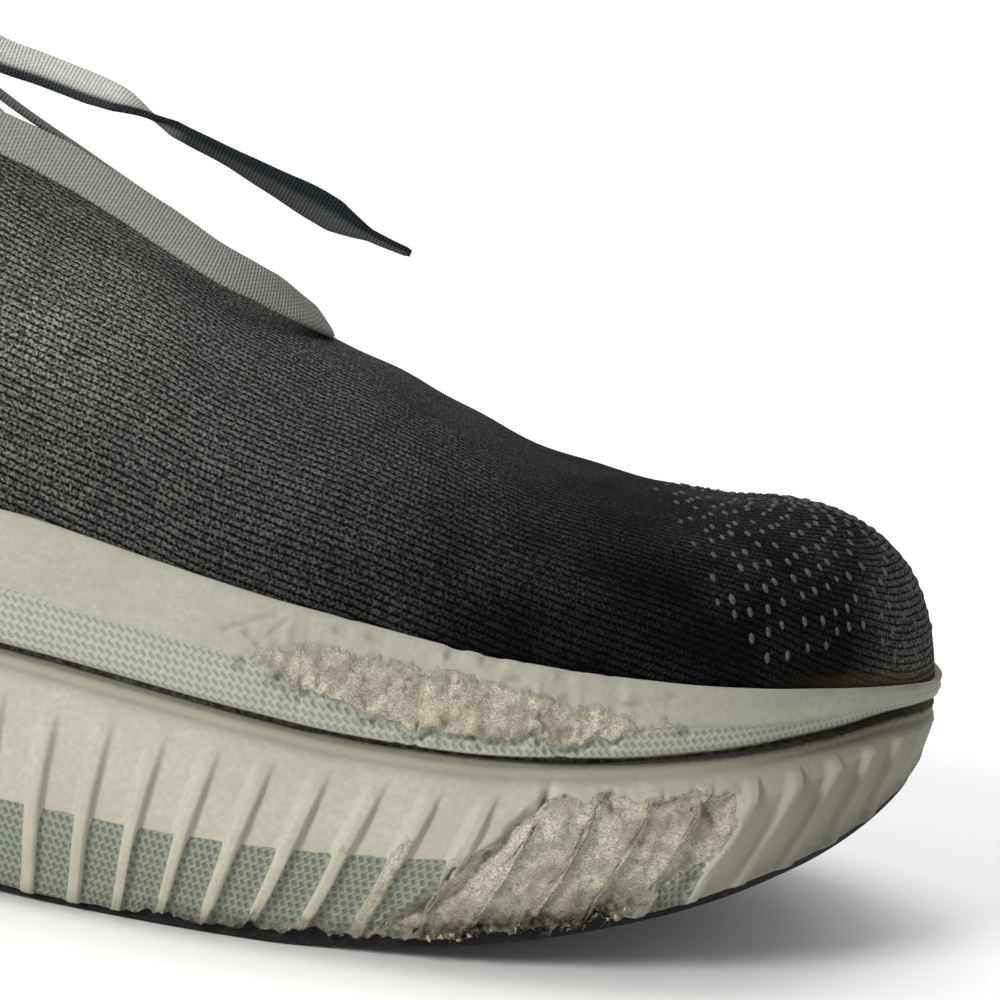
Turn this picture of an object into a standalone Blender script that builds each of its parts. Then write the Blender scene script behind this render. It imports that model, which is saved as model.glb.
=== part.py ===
"""A worn running shoe for the right foot: upper, tongue, insole, two-part foam sole, outsole and lace.

Metres. +X is the toe, -Y the outer side of the foot, +Z up. The shoe stands on z = 0.
Tables hold stations as shares of the sole's length, from the heel (0) to the toe (1),
and heights or widths as shares of the named size that they follow.
"""

import math

import bmesh
import bpy
import numpy as np
from mathutils import Matrix, Vector

# Sole
SOLE_LENGTH = 0.305
BALL_WIDTH = 0.1130
HEEL_WIDTH = 0.0870
WAIST_WIDTH = 0.0920
RIM_TOP_HEIGHT = 0.0520
RIDGE_HEIGHT = 0.0435
GROOVE_HEIGHT = 0.0330
WIDEST_HEIGHT = 0.0165
FOOTBED_HEIGHT = 0.0375
TOE_SPRING = 0.0380
RIM_WIDTH = 0.0090
RIDGE_INSET = 0.0032
CREST_WIDTH = 0.0008
CUP_TAPER = 0.0009
GROOVE_INSET = 0.0048
LIP_HEIGHT = 0.0017
LIP_INSET = 0.0056
SHOULDER_INSET = 0.0037
TUCK_INSET = 0.0034
RIB_PITCH = 0.0087
RIB_WIDTH = 0.0026
RIB_PROUD = 0.0011
RIB_START = 0.0099
RIB_SLANT = 0.42
TOE_TUCK = 0.0010
OUTSOLE_THICKNESS = 0.0030
TREAD_PITCH = 0.0125
TREAD_GROOVE = 0.0022
TREAD_DEPTH = 0.0015
CENTRE_CHANNEL = 0.0090

# Upper, tongue and insole
CREST_HEIGHT = 0.1130
COLLAR_HEIGHT = 0.1065
COLLAR_HALF_WIDTH = 0.0335
WALL = 0.0022
COLLAR_PAD = 0.0058
# The padding starts at the first station and row, and is full at the second
PAD_STATIONS = (0.300, 0.240)
PAD_ROWS = (0.30, 0.70)
THROAT_HALF_WIDTH = 0.0130
EYELET_RADIUS = 0.0021
EYELET_SETBACK = 0.0068
EYELET_STATIONS = (0.434, 0.395, 0.356, 0.317)
TONGUE_THICKNESS = 0.0038
TONGUE_REACH = 0.0100
TONGUE_RISE = 0.0160
TONGUE_CURL = 0.0011
INSOLE_THICKNESS = 0.0040

# Lace
LACE_WIDTH = 0.0070
LACE_THICKNESS = 0.0013
LACE_TUBE = 0.0032
KNOT_SIZE = (0.0170, 0.0150, 0.0085)

# Gaps between pieces
CLEAR = 0.0003
INSOLE_CLEAR = 0.0006
TONGUE_CLEAR = 0.0011

# Outline of the foam at its widest line: station, half width to the outer side and to the inner
# side, each as a share of the width named in the last column.
OUTLINE = (
    (1.000, 0.000, 0.000, "tip"),
    (0.995, 0.140, 0.235, "ball"),
    (0.985, 0.245, 0.370, "ball"),
    (0.960, 0.420, 0.555, "ball"),
    (0.930, 0.580, 0.695, "ball"),
    (0.890, 0.740, 0.825, "ball"),
    (0.830, 0.895, 0.930, "ball"),
    (0.760, 0.980, 0.985, "ball"),
    (0.690, 1.000, 0.990, "ball"),
    (0.620, 1.000, 0.940, "ball"),
    (0.540, 1.170, 0.990, "waist"),
    (0.450, 1.100, 0.885, "waist"),
    (0.360, 1.020, 0.865, "waist"),
    (0.270, 1.040, 0.960, "heel"),
    (0.180, 1.020, 1.000, "heel"),
    (0.110, 0.940, 0.950, "heel"),
    (0.055, 0.760, 0.790, "heel"),
    (0.020, 0.490, 0.540, "heel"),
    (0.005, 0.240, 0.300, "heel"),
    (0.000, 0.000, 0.000, "back"),
)
TIP_ACROSS = 0.0050
BACK_ACROSS = 0.0010

# Heights along the side of the sole: station, share of the named height.
BOTTOM = (
    (0.000, 0.230),
    (0.030, 0.125),
    (0.070, 0.030),
    (0.110, 0.000),
    (0.230, 0.000),
    (0.300, 0.035),
    (0.370, 0.065),
    (0.440, 0.058),
    (0.500, 0.024),
    (0.555, 0.000),
    (0.655, 0.000),
    (0.697, 0.034),
    (0.740, 0.076),
    (0.782, 0.134),
    (0.820, 0.206),
    (0.860, 0.293),
    (0.900, 0.398),
    (0.933, 0.490),
    (0.957, 0.578),
    (0.980, 0.695),
    (1.000, 0.830),
)
WIDEST = (
    (0.000, 1.300),
    (0.170, 1.120),
    (0.340, 1.060),
    (0.500, 1.020),
    (0.600, 0.990),
    (0.655, 1.010),
    (0.713, 1.080),
    (0.746, 1.140),
    (0.795, 1.310),
    (0.844, 1.530),
    (0.893, 1.800),
    (0.936, 2.070),
    (0.969, 2.260),
    (1.000, 2.370),
)
GROOVE = (
    (0.000, 1.210),
    (0.170, 1.230),
    (0.340, 1.215),
    (0.434, 1.175),
    (0.500, 1.130),
    (0.566, 1.070),
    (0.631, 1.010),
    (0.684, 0.968),
    (0.733, 0.960),
    (0.808, 1.004),
    (0.861, 1.065),
    (0.910, 1.140),
    (0.936, 1.180),
    (0.969, 1.230),
    (1.000, 1.245),
)
RIDGE = (
    (0.000, 1.240),
    (0.170, 1.220),
    (0.340, 1.180),
    (0.434, 1.145),
    (0.500, 1.108),
    (0.549, 1.060),
    (0.592, 1.032),
    (0.625, 1.012),
    (0.684, 0.984),
    (0.756, 0.961),
    (0.828, 0.952),
    (0.907, 0.970),
    (0.933, 0.985),
    (0.966, 1.000),
    (1.000, 1.005),
)
RIM_TOP = (
    (0.000, 1.230),
    (0.170, 1.200),
    (0.340, 1.170),
    (0.434, 1.150),
    (0.500, 1.123),
    (0.566, 1.065),
    (0.622, 1.015),
    (0.687, 0.969),
    (0.750, 0.931),
    (0.802, 0.914),
    (0.854, 0.906),
    (0.907, 0.904),
    (0.949, 0.896),
    (0.982, 0.885),
    (1.000, 0.880),
)
FOOTBED = (
    (0.000, 1.160),
    (0.170, 1.135),
    (0.340, 1.128),
    (0.434, 1.112),
    (0.500, 1.088),
    (0.566, 1.048),
    (0.631, 1.010),
    (0.697, 0.987),
    (0.746, 0.987),
    (0.795, 1.013),
    (0.844, 1.056),
    (0.893, 1.099),
    (0.943, 1.130),
    (1.000, 1.147),
)
RIM_INSET = (
    (0.000, 0.800),
    (0.170, 0.950),
    (0.500, 1.050),
    (0.631, 1.000),
    (0.746, 0.900),
    (0.828, 0.800),
    (0.893, 0.650),
    (0.943, 0.420),
    (0.975, 0.260),
    (1.000, 0.170),
)
RIDGE_SHARE = (
    (0.000, 0.700),
    (0.170, 1.000),
    (0.828, 1.000),
    (0.943, 0.600),
    (1.000, 0.150),
)
# How far the lower foam draws back under the toe, as a share of the toe tuck.
UNDER_TOE = (
    (0.000, 0.000),
    (0.880, 0.000),
    (0.940, 0.220),
    (0.975, 0.600),
    (1.000, 1.000),
)
# Lean of the side ribs: their feet move back in the forefoot and forward in the heel.
SLANT = (
    (0.000, 0.000),
    (0.120, -0.350),
    (0.300, -0.500),
    (0.530, 0.000),
    (0.740, 1.000),
    (0.900, 1.100),
    (0.970, 0.600),
    (1.000, 0.000),
)

# Crest of the upper, from the throat's top to the toe: station, share of the crest height.
CREST = (
    (0.220, 1.230),
    (0.270, 1.178),
    (0.310, 1.137),
    (0.353, 1.097),
    (0.402, 1.049),
    (0.444, 1.000),
    (0.478, 0.956),
    (0.513, 0.914),
    (0.548, 0.872),
    (0.589, 0.813),
    (0.628, 0.775),
    (0.670, 0.741),
    (0.710, 0.698),
    (0.739, 0.667),
    (0.769, 0.642),
    (0.808, 0.624),
    (0.844, 0.623),
    (0.887, 0.636),
    (1.000, 0.640),
)
CREST_ACROSS = 0.0040

# Sides of the upper. Foot is the station on the sole's outline and top the station of the same
# column's end. Open is the end's distance from the crest line as a share of the throat's half
# width. Rise and reach are the pull of the curve at its foot and at its end, as shares of its
# height and of its span, and lean is how far it leaves the sole outward for each unit upward.
SIDES = (
    # foot, top, open, rise, reach, lean
    (1.000, 0.885, 0.00, 0.80, 0.52, -0.17),
    (0.980, 0.880, 0.00, 0.80, 0.52, -0.16),
    (0.960, 0.870, 0.00, 0.80, 0.54, -0.12),
    (0.930, 0.852, 0.00, 0.78, 0.56, -0.06),
    (0.893, 0.828, 0.00, 0.74, 0.58, 0.00),
    (0.850, 0.800, 0.00, 0.70, 0.58, 0.05),
    (0.800, 0.770, 0.00, 0.66, 0.56, 0.08),
    (0.740, 0.725, 0.00, 0.62, 0.54, 0.10),
    (0.690, 0.684, 0.00, 0.60, 0.52, 0.11),
    (0.620, 0.618, 0.00, 0.58, 0.50, 0.12),
    (0.560, 0.559, 0.00, 0.56, 0.48, 0.12),
    (0.485, 0.485, 0.00, 0.55, 0.46, 0.10),
    (0.478, 0.478, 0.40, 0.55, 0.46, 0.10),
    (0.460, 0.460, 0.60, 0.54, 0.45, 0.10),
    (0.430, 0.430, 0.74, 0.54, 0.45, 0.09),
    (0.360, 0.360, 0.90, 0.53, 0.44, 0.07),
    (0.305, 0.305, 1.00, 0.52, 0.43, 0.05),
)
# Collar line behind the throat: foot, top, share of the collar's half width, share of the
# collar's height, rise, reach and lean as above.
COLLAR = (
    (0.285, 0.290, 0.700, 1.115, 0.50, 0.34, 0.05),
    (0.262, 0.268, 0.810, 1.025, 0.48, 0.32, 0.04),
    (0.230, 0.235, 0.920, 0.945, 0.46, 0.30, 0.04),
    (0.190, 0.192, 0.985, 0.885, 0.44, 0.28, 0.04),
    (0.145, 0.144, 1.000, 0.862, 0.44, 0.28, 0.05),
    (0.100, 0.096, 0.930, 0.878, 0.44, 0.28, 0.08),
    (0.060, 0.056, 0.740, 0.925, 0.44, 0.28, 0.12),
    (0.030, 0.032, 0.520, 0.966, 0.44, 0.28, 0.15),
    (0.010, 0.022, 0.280, 0.992, 0.44, 0.28, 0.17),
    (0.000, 0.019, 0.000, 1.000, 0.44, 0.28, 0.18),
)
# Stations of the columns of the upper, the foam rim and the insole.
COLUMNS = (
    1.000, 0.9975, 0.991, 0.979, 0.961, 0.936, 0.905, 0.870, 0.830, 0.785, 0.740, 0.695,
    0.650, 0.605, 0.560, 0.520, 0.485, 0.478, 0.460, 0.430, 0.395, 0.360, 0.330,
    0.305, 0.285, 0.262, 0.230, 0.190, 0.145, 0.100, 0.060, 0.032, 0.013, 0.0035, 0.000,
)
UPPER_ROWS = (0.09, 0.22, 0.37, 0.55, 0.77, 1.00)

# Routes of the free lace, from the knot. Chosen by hand.
LACE_ROUTES = {
    "lace_end_outer": (
        (-0.0445, -0.0030, 0.1400),
        (-0.0385, -0.0060, 0.1385),
        (-0.0290, -0.0085, 0.1320),
        (-0.0180, -0.0090, 0.1262),
        (-0.0110, -0.0080, 0.1247),
        (-0.0040, -0.0080, 0.1231),
        (0.0030, -0.0085, 0.1215),
        (0.0085, -0.0090, 0.1196),
        (0.0140, -0.0090, 0.1176),
        (0.0200, -0.0088, 0.1156),
        (0.0270, -0.0085, 0.1130),
        (0.0350, -0.0080, 0.1100),
        (0.0430, -0.0080, 0.1068),
        (0.0480, -0.0080, 0.1052),
        (0.0525, -0.0080, 0.1040),
    ),
    "lace_loop_outer": (
        (-0.0460, -0.0110, 0.1290),
        (-0.0400, -0.0165, 0.1240),
        (-0.0280, -0.0180, 0.1190),
        (-0.0170, -0.0180, 0.1150),
        (-0.0060, -0.0165, 0.1115),
        (0.0040, -0.0150, 0.1072),
        (0.0130, -0.0135, 0.1028),
        (0.0220, -0.0120, 0.0983),
        (0.0300, -0.0085, 0.0950),
        (0.0365, -0.0030, 0.0916),
        (0.0388, 0.0040, 0.0898),
        (0.0350, 0.0105, 0.0908),
        (0.0270, 0.0145, 0.0940),
        (0.0170, 0.0150, 0.0990),
        (0.0060, 0.0135, 0.1052),
        (-0.0050, 0.0110, 0.1110),
        (-0.0160, 0.0080, 0.1168),
        (-0.0270, 0.0055, 0.1232),
        (-0.0370, 0.0035, 0.1290),
    ),
    "lace_loop_inner": (
        (-0.0500, 0.0120, 0.1335),
        (-0.0470, 0.0200, 0.1310),
        (-0.0420, 0.0270, 0.1240),
        (-0.0370, 0.0330, 0.1150),
        (-0.0320, 0.0380, 0.1050),
        (-0.0270, 0.0410, 0.0960),
        (-0.0200, 0.0425, 0.0890),
        (-0.0120, 0.0420, 0.0880),
        (-0.0080, 0.0395, 0.0935),
        (-0.0120, 0.0360, 0.1000),
        (-0.0190, 0.0310, 0.1080),
        (-0.0260, 0.0250, 0.1150),
        (-0.0330, 0.0180, 0.1215),
        (-0.0390, 0.0120, 0.1270),
    ),
    "lace_end_inner": (
        (-0.0560, 0.0090, 0.1345),
        (-0.0590, 0.0190, 0.1335),
        (-0.0600, 0.0290, 0.1240),
        (-0.0590, 0.0360, 0.1130),
        (-0.0570, 0.0410, 0.1020),
        (-0.0545, 0.0450, 0.0910),
        (-0.0520, 0.0480, 0.0800),
        (-0.0490, 0.0500, 0.0700),
    ),
}
KNOT_CENTRE = (-0.0500, 0.0030, 0.1350)
KNOT_TILT = math.radians(24)


def smooth(table, at):
    """A monotone cubic through the table's points, which never runs past them."""
    xs = [row[0] for row in table]
    ys = [row[1] for row in table]
    if xs[0] > xs[-1]:
        xs.reverse()
        ys.reverse()
    at = min(max(at, xs[0]), xs[-1])
    steps = [(ys[i + 1] - ys[i]) / (xs[i + 1] - xs[i]) for i in range(len(xs) - 1)]
    slopes = [steps[0]]
    for before, after in zip(steps, steps[1:]):
        slopes.append(0.0 if before * after <= 0 else 2 * before * after / (before + after))
    slopes.append(steps[-1])
    i = max(k for k in range(len(xs) - 1) if xs[k] <= at)
    width = xs[i + 1] - xs[i]
    t = (at - xs[i]) / width
    return (
        (2 * t**3 - 3 * t**2 + 1) * ys[i]
        + (t**3 - 2 * t**2 + t) * width * slopes[i]
        + (3 * t**2 - 2 * t**3) * ys[i + 1]
        + (t**3 - t**2) * width * slopes[i + 1]
    )


def station(x):
    return x / SOLE_LENGTH + 0.5


def along(share):
    return (share - 0.5) * SOLE_LENGTH


def height(table, size, x):
    return size * smooth(table, station(x))


class Outline:
    """The sole's outline as two half curves from the toe tip to the heel, outer and inner."""

    def __init__(self):
        half = {"ball": BALL_WIDTH / 2, "waist": WAIST_WIDTH / 2, "heel": HEEL_WIDTH / 2}
        half["tip"] = half["back"] = 0.0
        sides = {}
        for side, column in ((-1, 1), (1, 2)):
            knots = []
            for row in OUTLINE:
                middle = TIP_ACROSS * max(0.0, (row[0] - 0.9) / 0.1) if row[0] > 0.9 else 0.0
                middle = BACK_ACROSS if row[3] == "back" else middle
                knots.append((along(row[0]), middle + side * half[row[3]] * row[column]))
            sides[side] = np.array(knots)
        loop = np.vstack([sides[-1][:-1], sides[1][::-1][:-1]])
        dense = closed_spline(loop, 60)
        dense[:, 0] -= (dense[:, 0].max() + dense[:, 0].min()) / 2
        dense[:, 1] -= (dense[:, 1].max() + dense[:, 1].min()) / 2
        dense[:, 0] *= SOLE_LENGTH / (dense[:, 0].max() - dense[:, 0].min())
        dense[:, 1] *= BALL_WIDTH / (dense[:, 1].max() - dense[:, 1].min())
        tip = int(dense[:, 0].argmax())
        dense = np.roll(dense, -tip, 0)
        back = int(dense[:, 0].argmin())
        self.half = {-1: dense[: back + 1], 1: np.vstack([dense[back:], dense[:1]])[::-1]}
        self.inward = {}
        self.arc = {}
        for side, points in self.half.items():
            tangent = np.gradient(points, axis=0)
            tangent[0] = tangent[-1] = (0.0, side)
            tangent[-1] = (0.0, -side)
            tangent /= np.linalg.norm(tangent, axis=1)[:, None]
            self.inward[side] = -side * np.stack([tangent[:, 1], -tangent[:, 0]], 1)
            steps = np.linalg.norm(np.diff(points, axis=0), axis=1)
            self.arc[side] = np.concatenate([[0.0], steps.cumsum()])

    def at(self, side, share, inset):
        """The point of a side at a station, moved inward by inset."""
        points = self.half[side]
        x = along(min(max(share, 0.0), 1.0))
        where = np.interp(-x, -points[:, 0], np.arange(len(points)))
        count = np.arange(len(points))
        place = [np.interp(where, count, points[:, k]) for k in (0, 1)]
        inward = [np.interp(where, count, self.inward[side][:, k]) for k in (0, 1)]
        size = math.hypot(*inward)
        return (place[0] + inward[0] / size * inset, place[1] + inward[1] / size * inset)


def closed_spline(loop, samples):
    """A closed curve through the loop's points, with centripetal spacing of its knots."""
    count = len(loop)
    out = []
    for i in range(count):
        p = [loop[(i + k - 1) % count] for k in range(4)]
        knots = [0.0]
        for a, b in zip(p, p[1:]):
            knots.append(knots[-1] + np.linalg.norm(b - a) ** 0.5)
        for t in np.linspace(knots[1], knots[2], samples, endpoint=False):
            a = [blend(p[k], p[k + 1], knots[k], knots[k + 1], t) for k in range(3)]
            b = [blend(a[k], a[k + 1], knots[k], knots[k + 2], t) for k in range(2)]
            out.append(blend(b[0], b[1], knots[1], knots[2], t))
    return np.array(out)


def blend(a, b, start, end, t):
    return (end - t) / (end - start) * a + (t - start) / (end - start) * b


def bezier(points, t):
    a, b, c, d = (np.array(p) for p in points)
    return a * (1 - t) ** 3 + 3 * b * t * (1 - t) ** 2 + 3 * c * t**2 * (1 - t) + d * t**3


def material(name, colour, roughness):
    found = bpy.data.materials.new(name)
    found.use_nodes = True
    shader = found.node_tree.nodes["Principled BSDF"]
    shader.inputs["Base Color"].default_value = (*colour, 1.0)
    shader.inputs["Roughness"].default_value = roughness
    shader.inputs["Metallic"].default_value = 0.0
    found.diffuse_color = (*colour, 1.0)
    return found


def new_object(name, bm, finish, collection):
    mesh = bpy.data.meshes.new(name)
    bm.to_mesh(mesh)
    bm.free()
    mesh.shade_smooth()
    mesh.set_sharp_from_angle(angle=math.radians(40))
    mesh.materials.append(finish)
    made = bpy.data.objects.new(name, mesh)
    collection.objects.link(made)
    return made


def around(stations, point):
    """A closed ring of points from the toe tip, down the outer side and back up the inner side."""
    outer = [point(-1, share) for share in stations]
    inner = [point(1, share) for share in stations[1:-1]]
    return outer + inner[::-1]


def ladder(bm, ring, up):
    """Closes a ring with faces that run straight across from the outer to the inner side."""
    count = len(ring)
    for i in range(count // 2):
        face = [ring[i], ring[i + 1], ring[count - i - 1], ring[-i]]
        if i == 0:
            face = [ring[0], ring[1], ring[-1]]
        elif i == count // 2 - 1:
            face = [ring[i], ring[i + 1], ring[-i]]
        bm.faces.new(face[::-1] if up else face)


def stack(rings):
    """A closed solid from rings that go up its outside, and over and down its inside."""
    bm = bmesh.new()
    made = [[bm.verts.new(p) for p in ring] for ring in rings]
    for low, high in zip(made, made[1:]):
        for i in range(len(low)):
            j = (i + 1) % len(low)
            bm.faces.new((low[j], low[i], high[i], high[j]))
    ladder(bm, made[0], False)
    ladder(bm, made[-1], True)
    return bm


def sole_point(outline, share, side, inset, table, size, lift=0.0):
    x, y = outline.at(side, share, inset)
    return (x, y, height(table, size, x) + lift)


def rim_inset(share):
    return RIM_WIDTH * smooth(RIM_INSET, share)


def under_toe(share):
    return TOE_TUCK * smooth(UNDER_TOE, share)


def foot_inset(share):
    """Inset of the lower foam's foot, where the outsole meets it."""
    return TUCK_INSET * smooth(RIDGE_SHARE, share) + 1.5 * under_toe(share)


def foam_rim(outline, finish, collection):
    """The upper foam: a cup with a bevelled rim, a ridge and a band that tucks in below it."""

    def ridge(side, share):
        inset = RIDGE_INSET * smooth(RIDGE_SHARE, share)
        return sole_point(outline, share, side, inset, RIDGE, RIDGE_HEIGHT)

    def bevel(side, share):
        low = ridge(side, share)
        high = top(side, share)
        lift = 0.06 * (high[2] - low[2])
        return (*((a + b) / 2 for a, b in zip(low[:2], high[:2])), (low[2] + high[2]) / 2 + lift)

    def band_foot(side, share):
        inset = GROOVE_INSET * smooth(RIDGE_SHARE, share)
        return sole_point(outline, share, side, inset, GROOVE, GROOVE_HEIGHT, CLEAR)

    def top(side, share):
        inset = rim_inset(share) - CREST_WIDTH
        return sole_point(outline, share, side, inset, RIM_TOP, RIM_TOP_HEIGHT)

    def lip(side, share):
        inset = rim_inset(share)
        return sole_point(outline, share, side, inset, RIM_TOP, RIM_TOP_HEIGHT, -CREST_WIDTH / 4)

    def floor(side, share):
        inset = rim_inset(share) + CUP_TAPER
        return sole_point(outline, share, side, inset, FOOTBED, FOOTBED_HEIGHT)

    bm = stack([around(COLUMNS, level) for level in (band_foot, ridge, bevel, top, lip, floor)])
    return new_object("midsole_rim", bm, finish, collection)


def rib_stations(outline):
    """Stations of the rib columns: three to a rib, at even steps along the outer side."""
    points = outline.half[-1]
    arc = outline.arc[-1]
    first = np.interp(-RIB_START, -points[:, 0], arc)
    margin = RIB_PITCH * 0.45
    crests = [first + k * RIB_PITCH for k in range(-60, 60)]
    crests = [s for s in crests if margin < s < arc[-1] - margin]
    columns = [(0.0, 0.0)]
    for s in crests:
        columns += [(s - RIB_WIDTH / 2, 0.0), (s, 1.0), (s + RIB_WIDTH / 2, 0.0)]
    columns.append((arc[-1], 0.0))
    return [(station(np.interp(s, arc, points[:, 0])), rib) for s, rib in columns]


def foam_lower(outline, finish, collection):
    """The lower foam: a recessed lip on top, a shoulder, slanted ribs, and a side that tucks in."""
    columns = rib_stations(outline)
    ribs = dict(columns)
    # Zone, share of its height from its top, inset, share of the rib's relief and of the toe tuck
    levels = (
        ("lower", 1.00, TUCK_INSET, 0.75, 1.5),
        ("lower", 0.50, TUCK_INSET * 0.28, 1.0, 1.2),
        ("upper", 1.00, 0.0, 1.0, 0.9),
        ("upper", 0.66, SHOULDER_INSET * 0.22, 0.75, 0.7),
        ("upper", 0.30, SHOULDER_INSET * 0.62, 0.0, 0.5),
        ("upper", 0.00, SHOULDER_INSET, 0.0, 0.4),
    )

    def heights(x):
        top = height(GROOVE, GROOVE_HEIGHT, x) - LIP_HEIGHT - CLEAR
        wide = min(height(WIDEST, WIDEST_HEIGHT, x), top - LIP_HEIGHT / 2)
        foot = height(BOTTOM, TOE_SPRING, x) + OUTSOLE_THICKNESS + CLEAR
        return top, wide, foot

    def side_level(zone, part, inset, relief, tuck):
        def point(side, share):
            top, wide, foot = heights(along(share))
            drop = (top - wide) * part
            if zone == "lower":
                drop = top - wide + max(0.0, wide - foot) * part
            moved = station(along(share) - RIB_SLANT * smooth(SLANT, share) * drop)
            edge = inset * smooth(RIDGE_SHARE, share) + tuck * under_toe(share)
            x, y = outline.at(side, moved, edge - relief * RIB_PROUD * ribs[share])
            top, wide, foot = heights(x)
            if zone == "upper":
                return (x, y, top + (wide - top) * part)
            return (x, y, wide + (foot - wide) * part)

        return point

    def lip_foot(side, share):
        inset = LIP_INSET * smooth(RIDGE_SHARE, share) + 0.3 * under_toe(share)
        return sole_point(outline, share, side, inset, GROOVE, GROOVE_HEIGHT, -LIP_HEIGHT)

    def lip_top(side, share):
        inset = LIP_INSET * smooth(RIDGE_SHARE, share) + 0.3 * under_toe(share)
        return sole_point(outline, share, side, inset, GROOVE, GROOVE_HEIGHT)

    rings = [side_level(*level) for level in levels] + [lip_foot, lip_top]
    shares = [share for share, rib in columns]
    bm = stack([around(shares, level) for level in rings])
    return new_object("midsole_lower", bm, finish, collection)


def tread_stations():
    """Stations of the outsole with whether each lies in a groove, cut at even steps."""
    columns = [(share, False) for share in (1.0, 0.9975, 0.991, 0.979)]
    wall = TREAD_GROOVE * 0.12
    count = int(SOLE_LENGTH * 0.945 / TREAD_PITCH)
    for k in range(count):
        middle = along(0.962) - k * TREAD_PITCH
        if station(middle) < 0.035:
            break
        for shift, deep in ((0.5, False), (0.5 - wall / TREAD_GROOVE, True)):
            columns.append((station(middle + TREAD_GROOVE * shift), deep))
        for shift, deep in ((wall / TREAD_GROOVE - 0.5, True), (-0.5, False)):
            columns.append((station(middle + TREAD_GROOVE * shift), deep))
        for part in (1 / 3, 2 / 3):
            between = station(middle - TREAD_GROOVE / 2 - (TREAD_PITCH - TREAD_GROOVE) * part)
            if between > 0.68:
                columns.append((between, False))
    columns += [(share, False) for share in (0.020, 0.0075, 0.0020, 0.0)]
    return columns


def outsole(outline, finish, collection):
    """Thin rubber with a lengthwise channel and grooves across, which leave two rows of lugs."""
    columns = tread_stations()
    deep = dict(columns)
    shares = [share for share, groove in columns]

    def top(side, share):
        inset = foot_inset(share) + CLEAR
        return sole_point(outline, share, side, inset, BOTTOM, TOE_SPRING, OUTSOLE_THICKNESS)

    def foot(side, share):
        inset = foot_inset(share) + OUTSOLE_THICKNESS * 0.3
        lift = TREAD_DEPTH if deep[share] else 0.0
        return sole_point(outline, share, side, inset, BOTTOM, TOE_SPRING, lift)

    bm = bmesh.new()
    low = [bm.verts.new(p) for p in around(shares, foot)]
    high = [bm.verts.new(p) for p in around(shares, top)]
    count = len(low)
    for i in range(count):
        j = (i + 1) % count
        bm.faces.new((low[j], low[i], high[i], high[j]))
    ladder(bm, high, True)
    rows = []
    for i in range(1, count // 2):
        outer, inner = low[i], low[-i]
        wide = (inner.co - outer.co).length
        half = min(CENTRE_CHANNEL / 2 / wide, 0.2) if wide > 3 * CENTRE_CHANNEL else 0.1
        row = [outer]
        for part, rise in ((-1.2, 0.0), (-1.0, 1.0), (1.0, 1.0), (1.2, 0.0)):
            place = outer.co.lerp(inner.co, 0.5 + half * part)
            if not deep[shares[i]]:
                place.z += rise * TREAD_DEPTH * (1.0 if wide > 3 * CENTRE_CHANNEL else 0.0)
            row.append(bm.verts.new(place))
        rows.append(row + [inner])
    for a, b in zip(rows, rows[1:]):
        for k in range(len(a) - 1):
            bm.faces.new((a[k], a[k + 1], b[k + 1], b[k]))
    for row, end in ((rows[0], low[0]), (rows[-1], low[count // 2])):
        for k in range(len(row) - 1):
            bm.faces.new((row[k], row[k + 1], end))
    bmesh.ops.recalc_face_normals(bm, faces=bm.faces)
    return new_object("outsole", bm, finish, collection)


def insole(outline, finish, collection):
    def level(inset, lift):
        def point(side, share):
            edge = rim_inset(share) + CUP_TAPER + CLEAR + WALL + INSOLE_CLEAR + inset
            return sole_point(outline, share, side, edge, FOOTBED, FOOTBED_HEIGHT, lift)

        return point

    low = level(0.0, CLEAR)
    middle = level(0.0, CLEAR + INSOLE_THICKNESS * 0.6)
    high = level(INSOLE_THICKNESS * 0.3, CLEAR + INSOLE_THICKNESS)
    bm = stack([around(COLUMNS, point) for point in (low, middle, high)])
    return new_object("insole", bm, finish, collection)


def side_values(share):
    """The values of the SIDES or COLLAR table at a station, as one dictionary."""
    last = SIDES[-1][0]
    if share >= last:
        names = ("top", "open", "rise", "reach", "lean")
        found = {
            name: smooth([(row[0], row[k + 1]) for row in SIDES], share)
            for k, name in enumerate(names)
        }
        found["collar"] = False
        return found
    names = ("top", "wide", "high", "rise", "reach", "lean")
    found = {
        name: smooth([(row[0], row[k + 1]) for row in COLLAR], share)
        for k, name in enumerate(names)
    }
    found["collar"] = True
    return found


def crest_point(share):
    """The crest line of the upper at a station. It crosses from the toe tip to the instep."""
    x = along(share)
    return Vector((x, CREST_ACROSS, height(CREST, CREST_HEIGHT, x)))


def side_curve(outline, side, share):
    """The four control points of the upper's column at a station: from the rim to its top."""
    values = side_values(share)
    inset = rim_inset(share) + CLEAR
    foot = Vector(sole_point(outline, share, side, inset, RIM_TOP, RIM_TOP_HEIGHT))
    out = Vector((*outline.at(side, share, 0.0), 0.0)) - Vector((*outline.at(side, share, inset), 0.0))
    out.normalize()
    if values["collar"]:
        x = along(values["top"])
        y = side * COLLAR_HALF_WIDTH * values["wide"]
        end = Vector((x, y, COLLAR_HEIGHT * values["high"]))
        tall = end.z - foot.z
        pull = (Vector((0, 0, 1)) + out * values["lean"]) * tall * values["rise"]
        back = Vector((0, 0, 1)) - out * 0.30
        return foot, foot + pull, end - back * tall * values["reach"], end
    end = crest_point(values["top"])
    tall = end.z - foot.z
    span = Vector((end.x - foot.x, end.y - foot.y, 0.0))
    pull = (Vector((0, 0, 1)) + out * values["lean"]) * tall * values["rise"]
    return foot, foot + pull, end - span * values["reach"], end


def side_end(curve, share):
    """How far up its column the upper goes: to the crest, the throat's edge or the collar."""
    values = side_values(share)
    if values["collar"] or values["open"] <= 0.0:
        return 1.0
    away = THROAT_HALF_WIDTH * values["open"]
    low, high = 0.3, 1.0
    for step in range(30):
        middle = (low + high) / 2
        if abs(bezier(curve, middle)[1] - curve[3][1]) > away:
            low = middle
        else:
            high = middle
    return low


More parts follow.
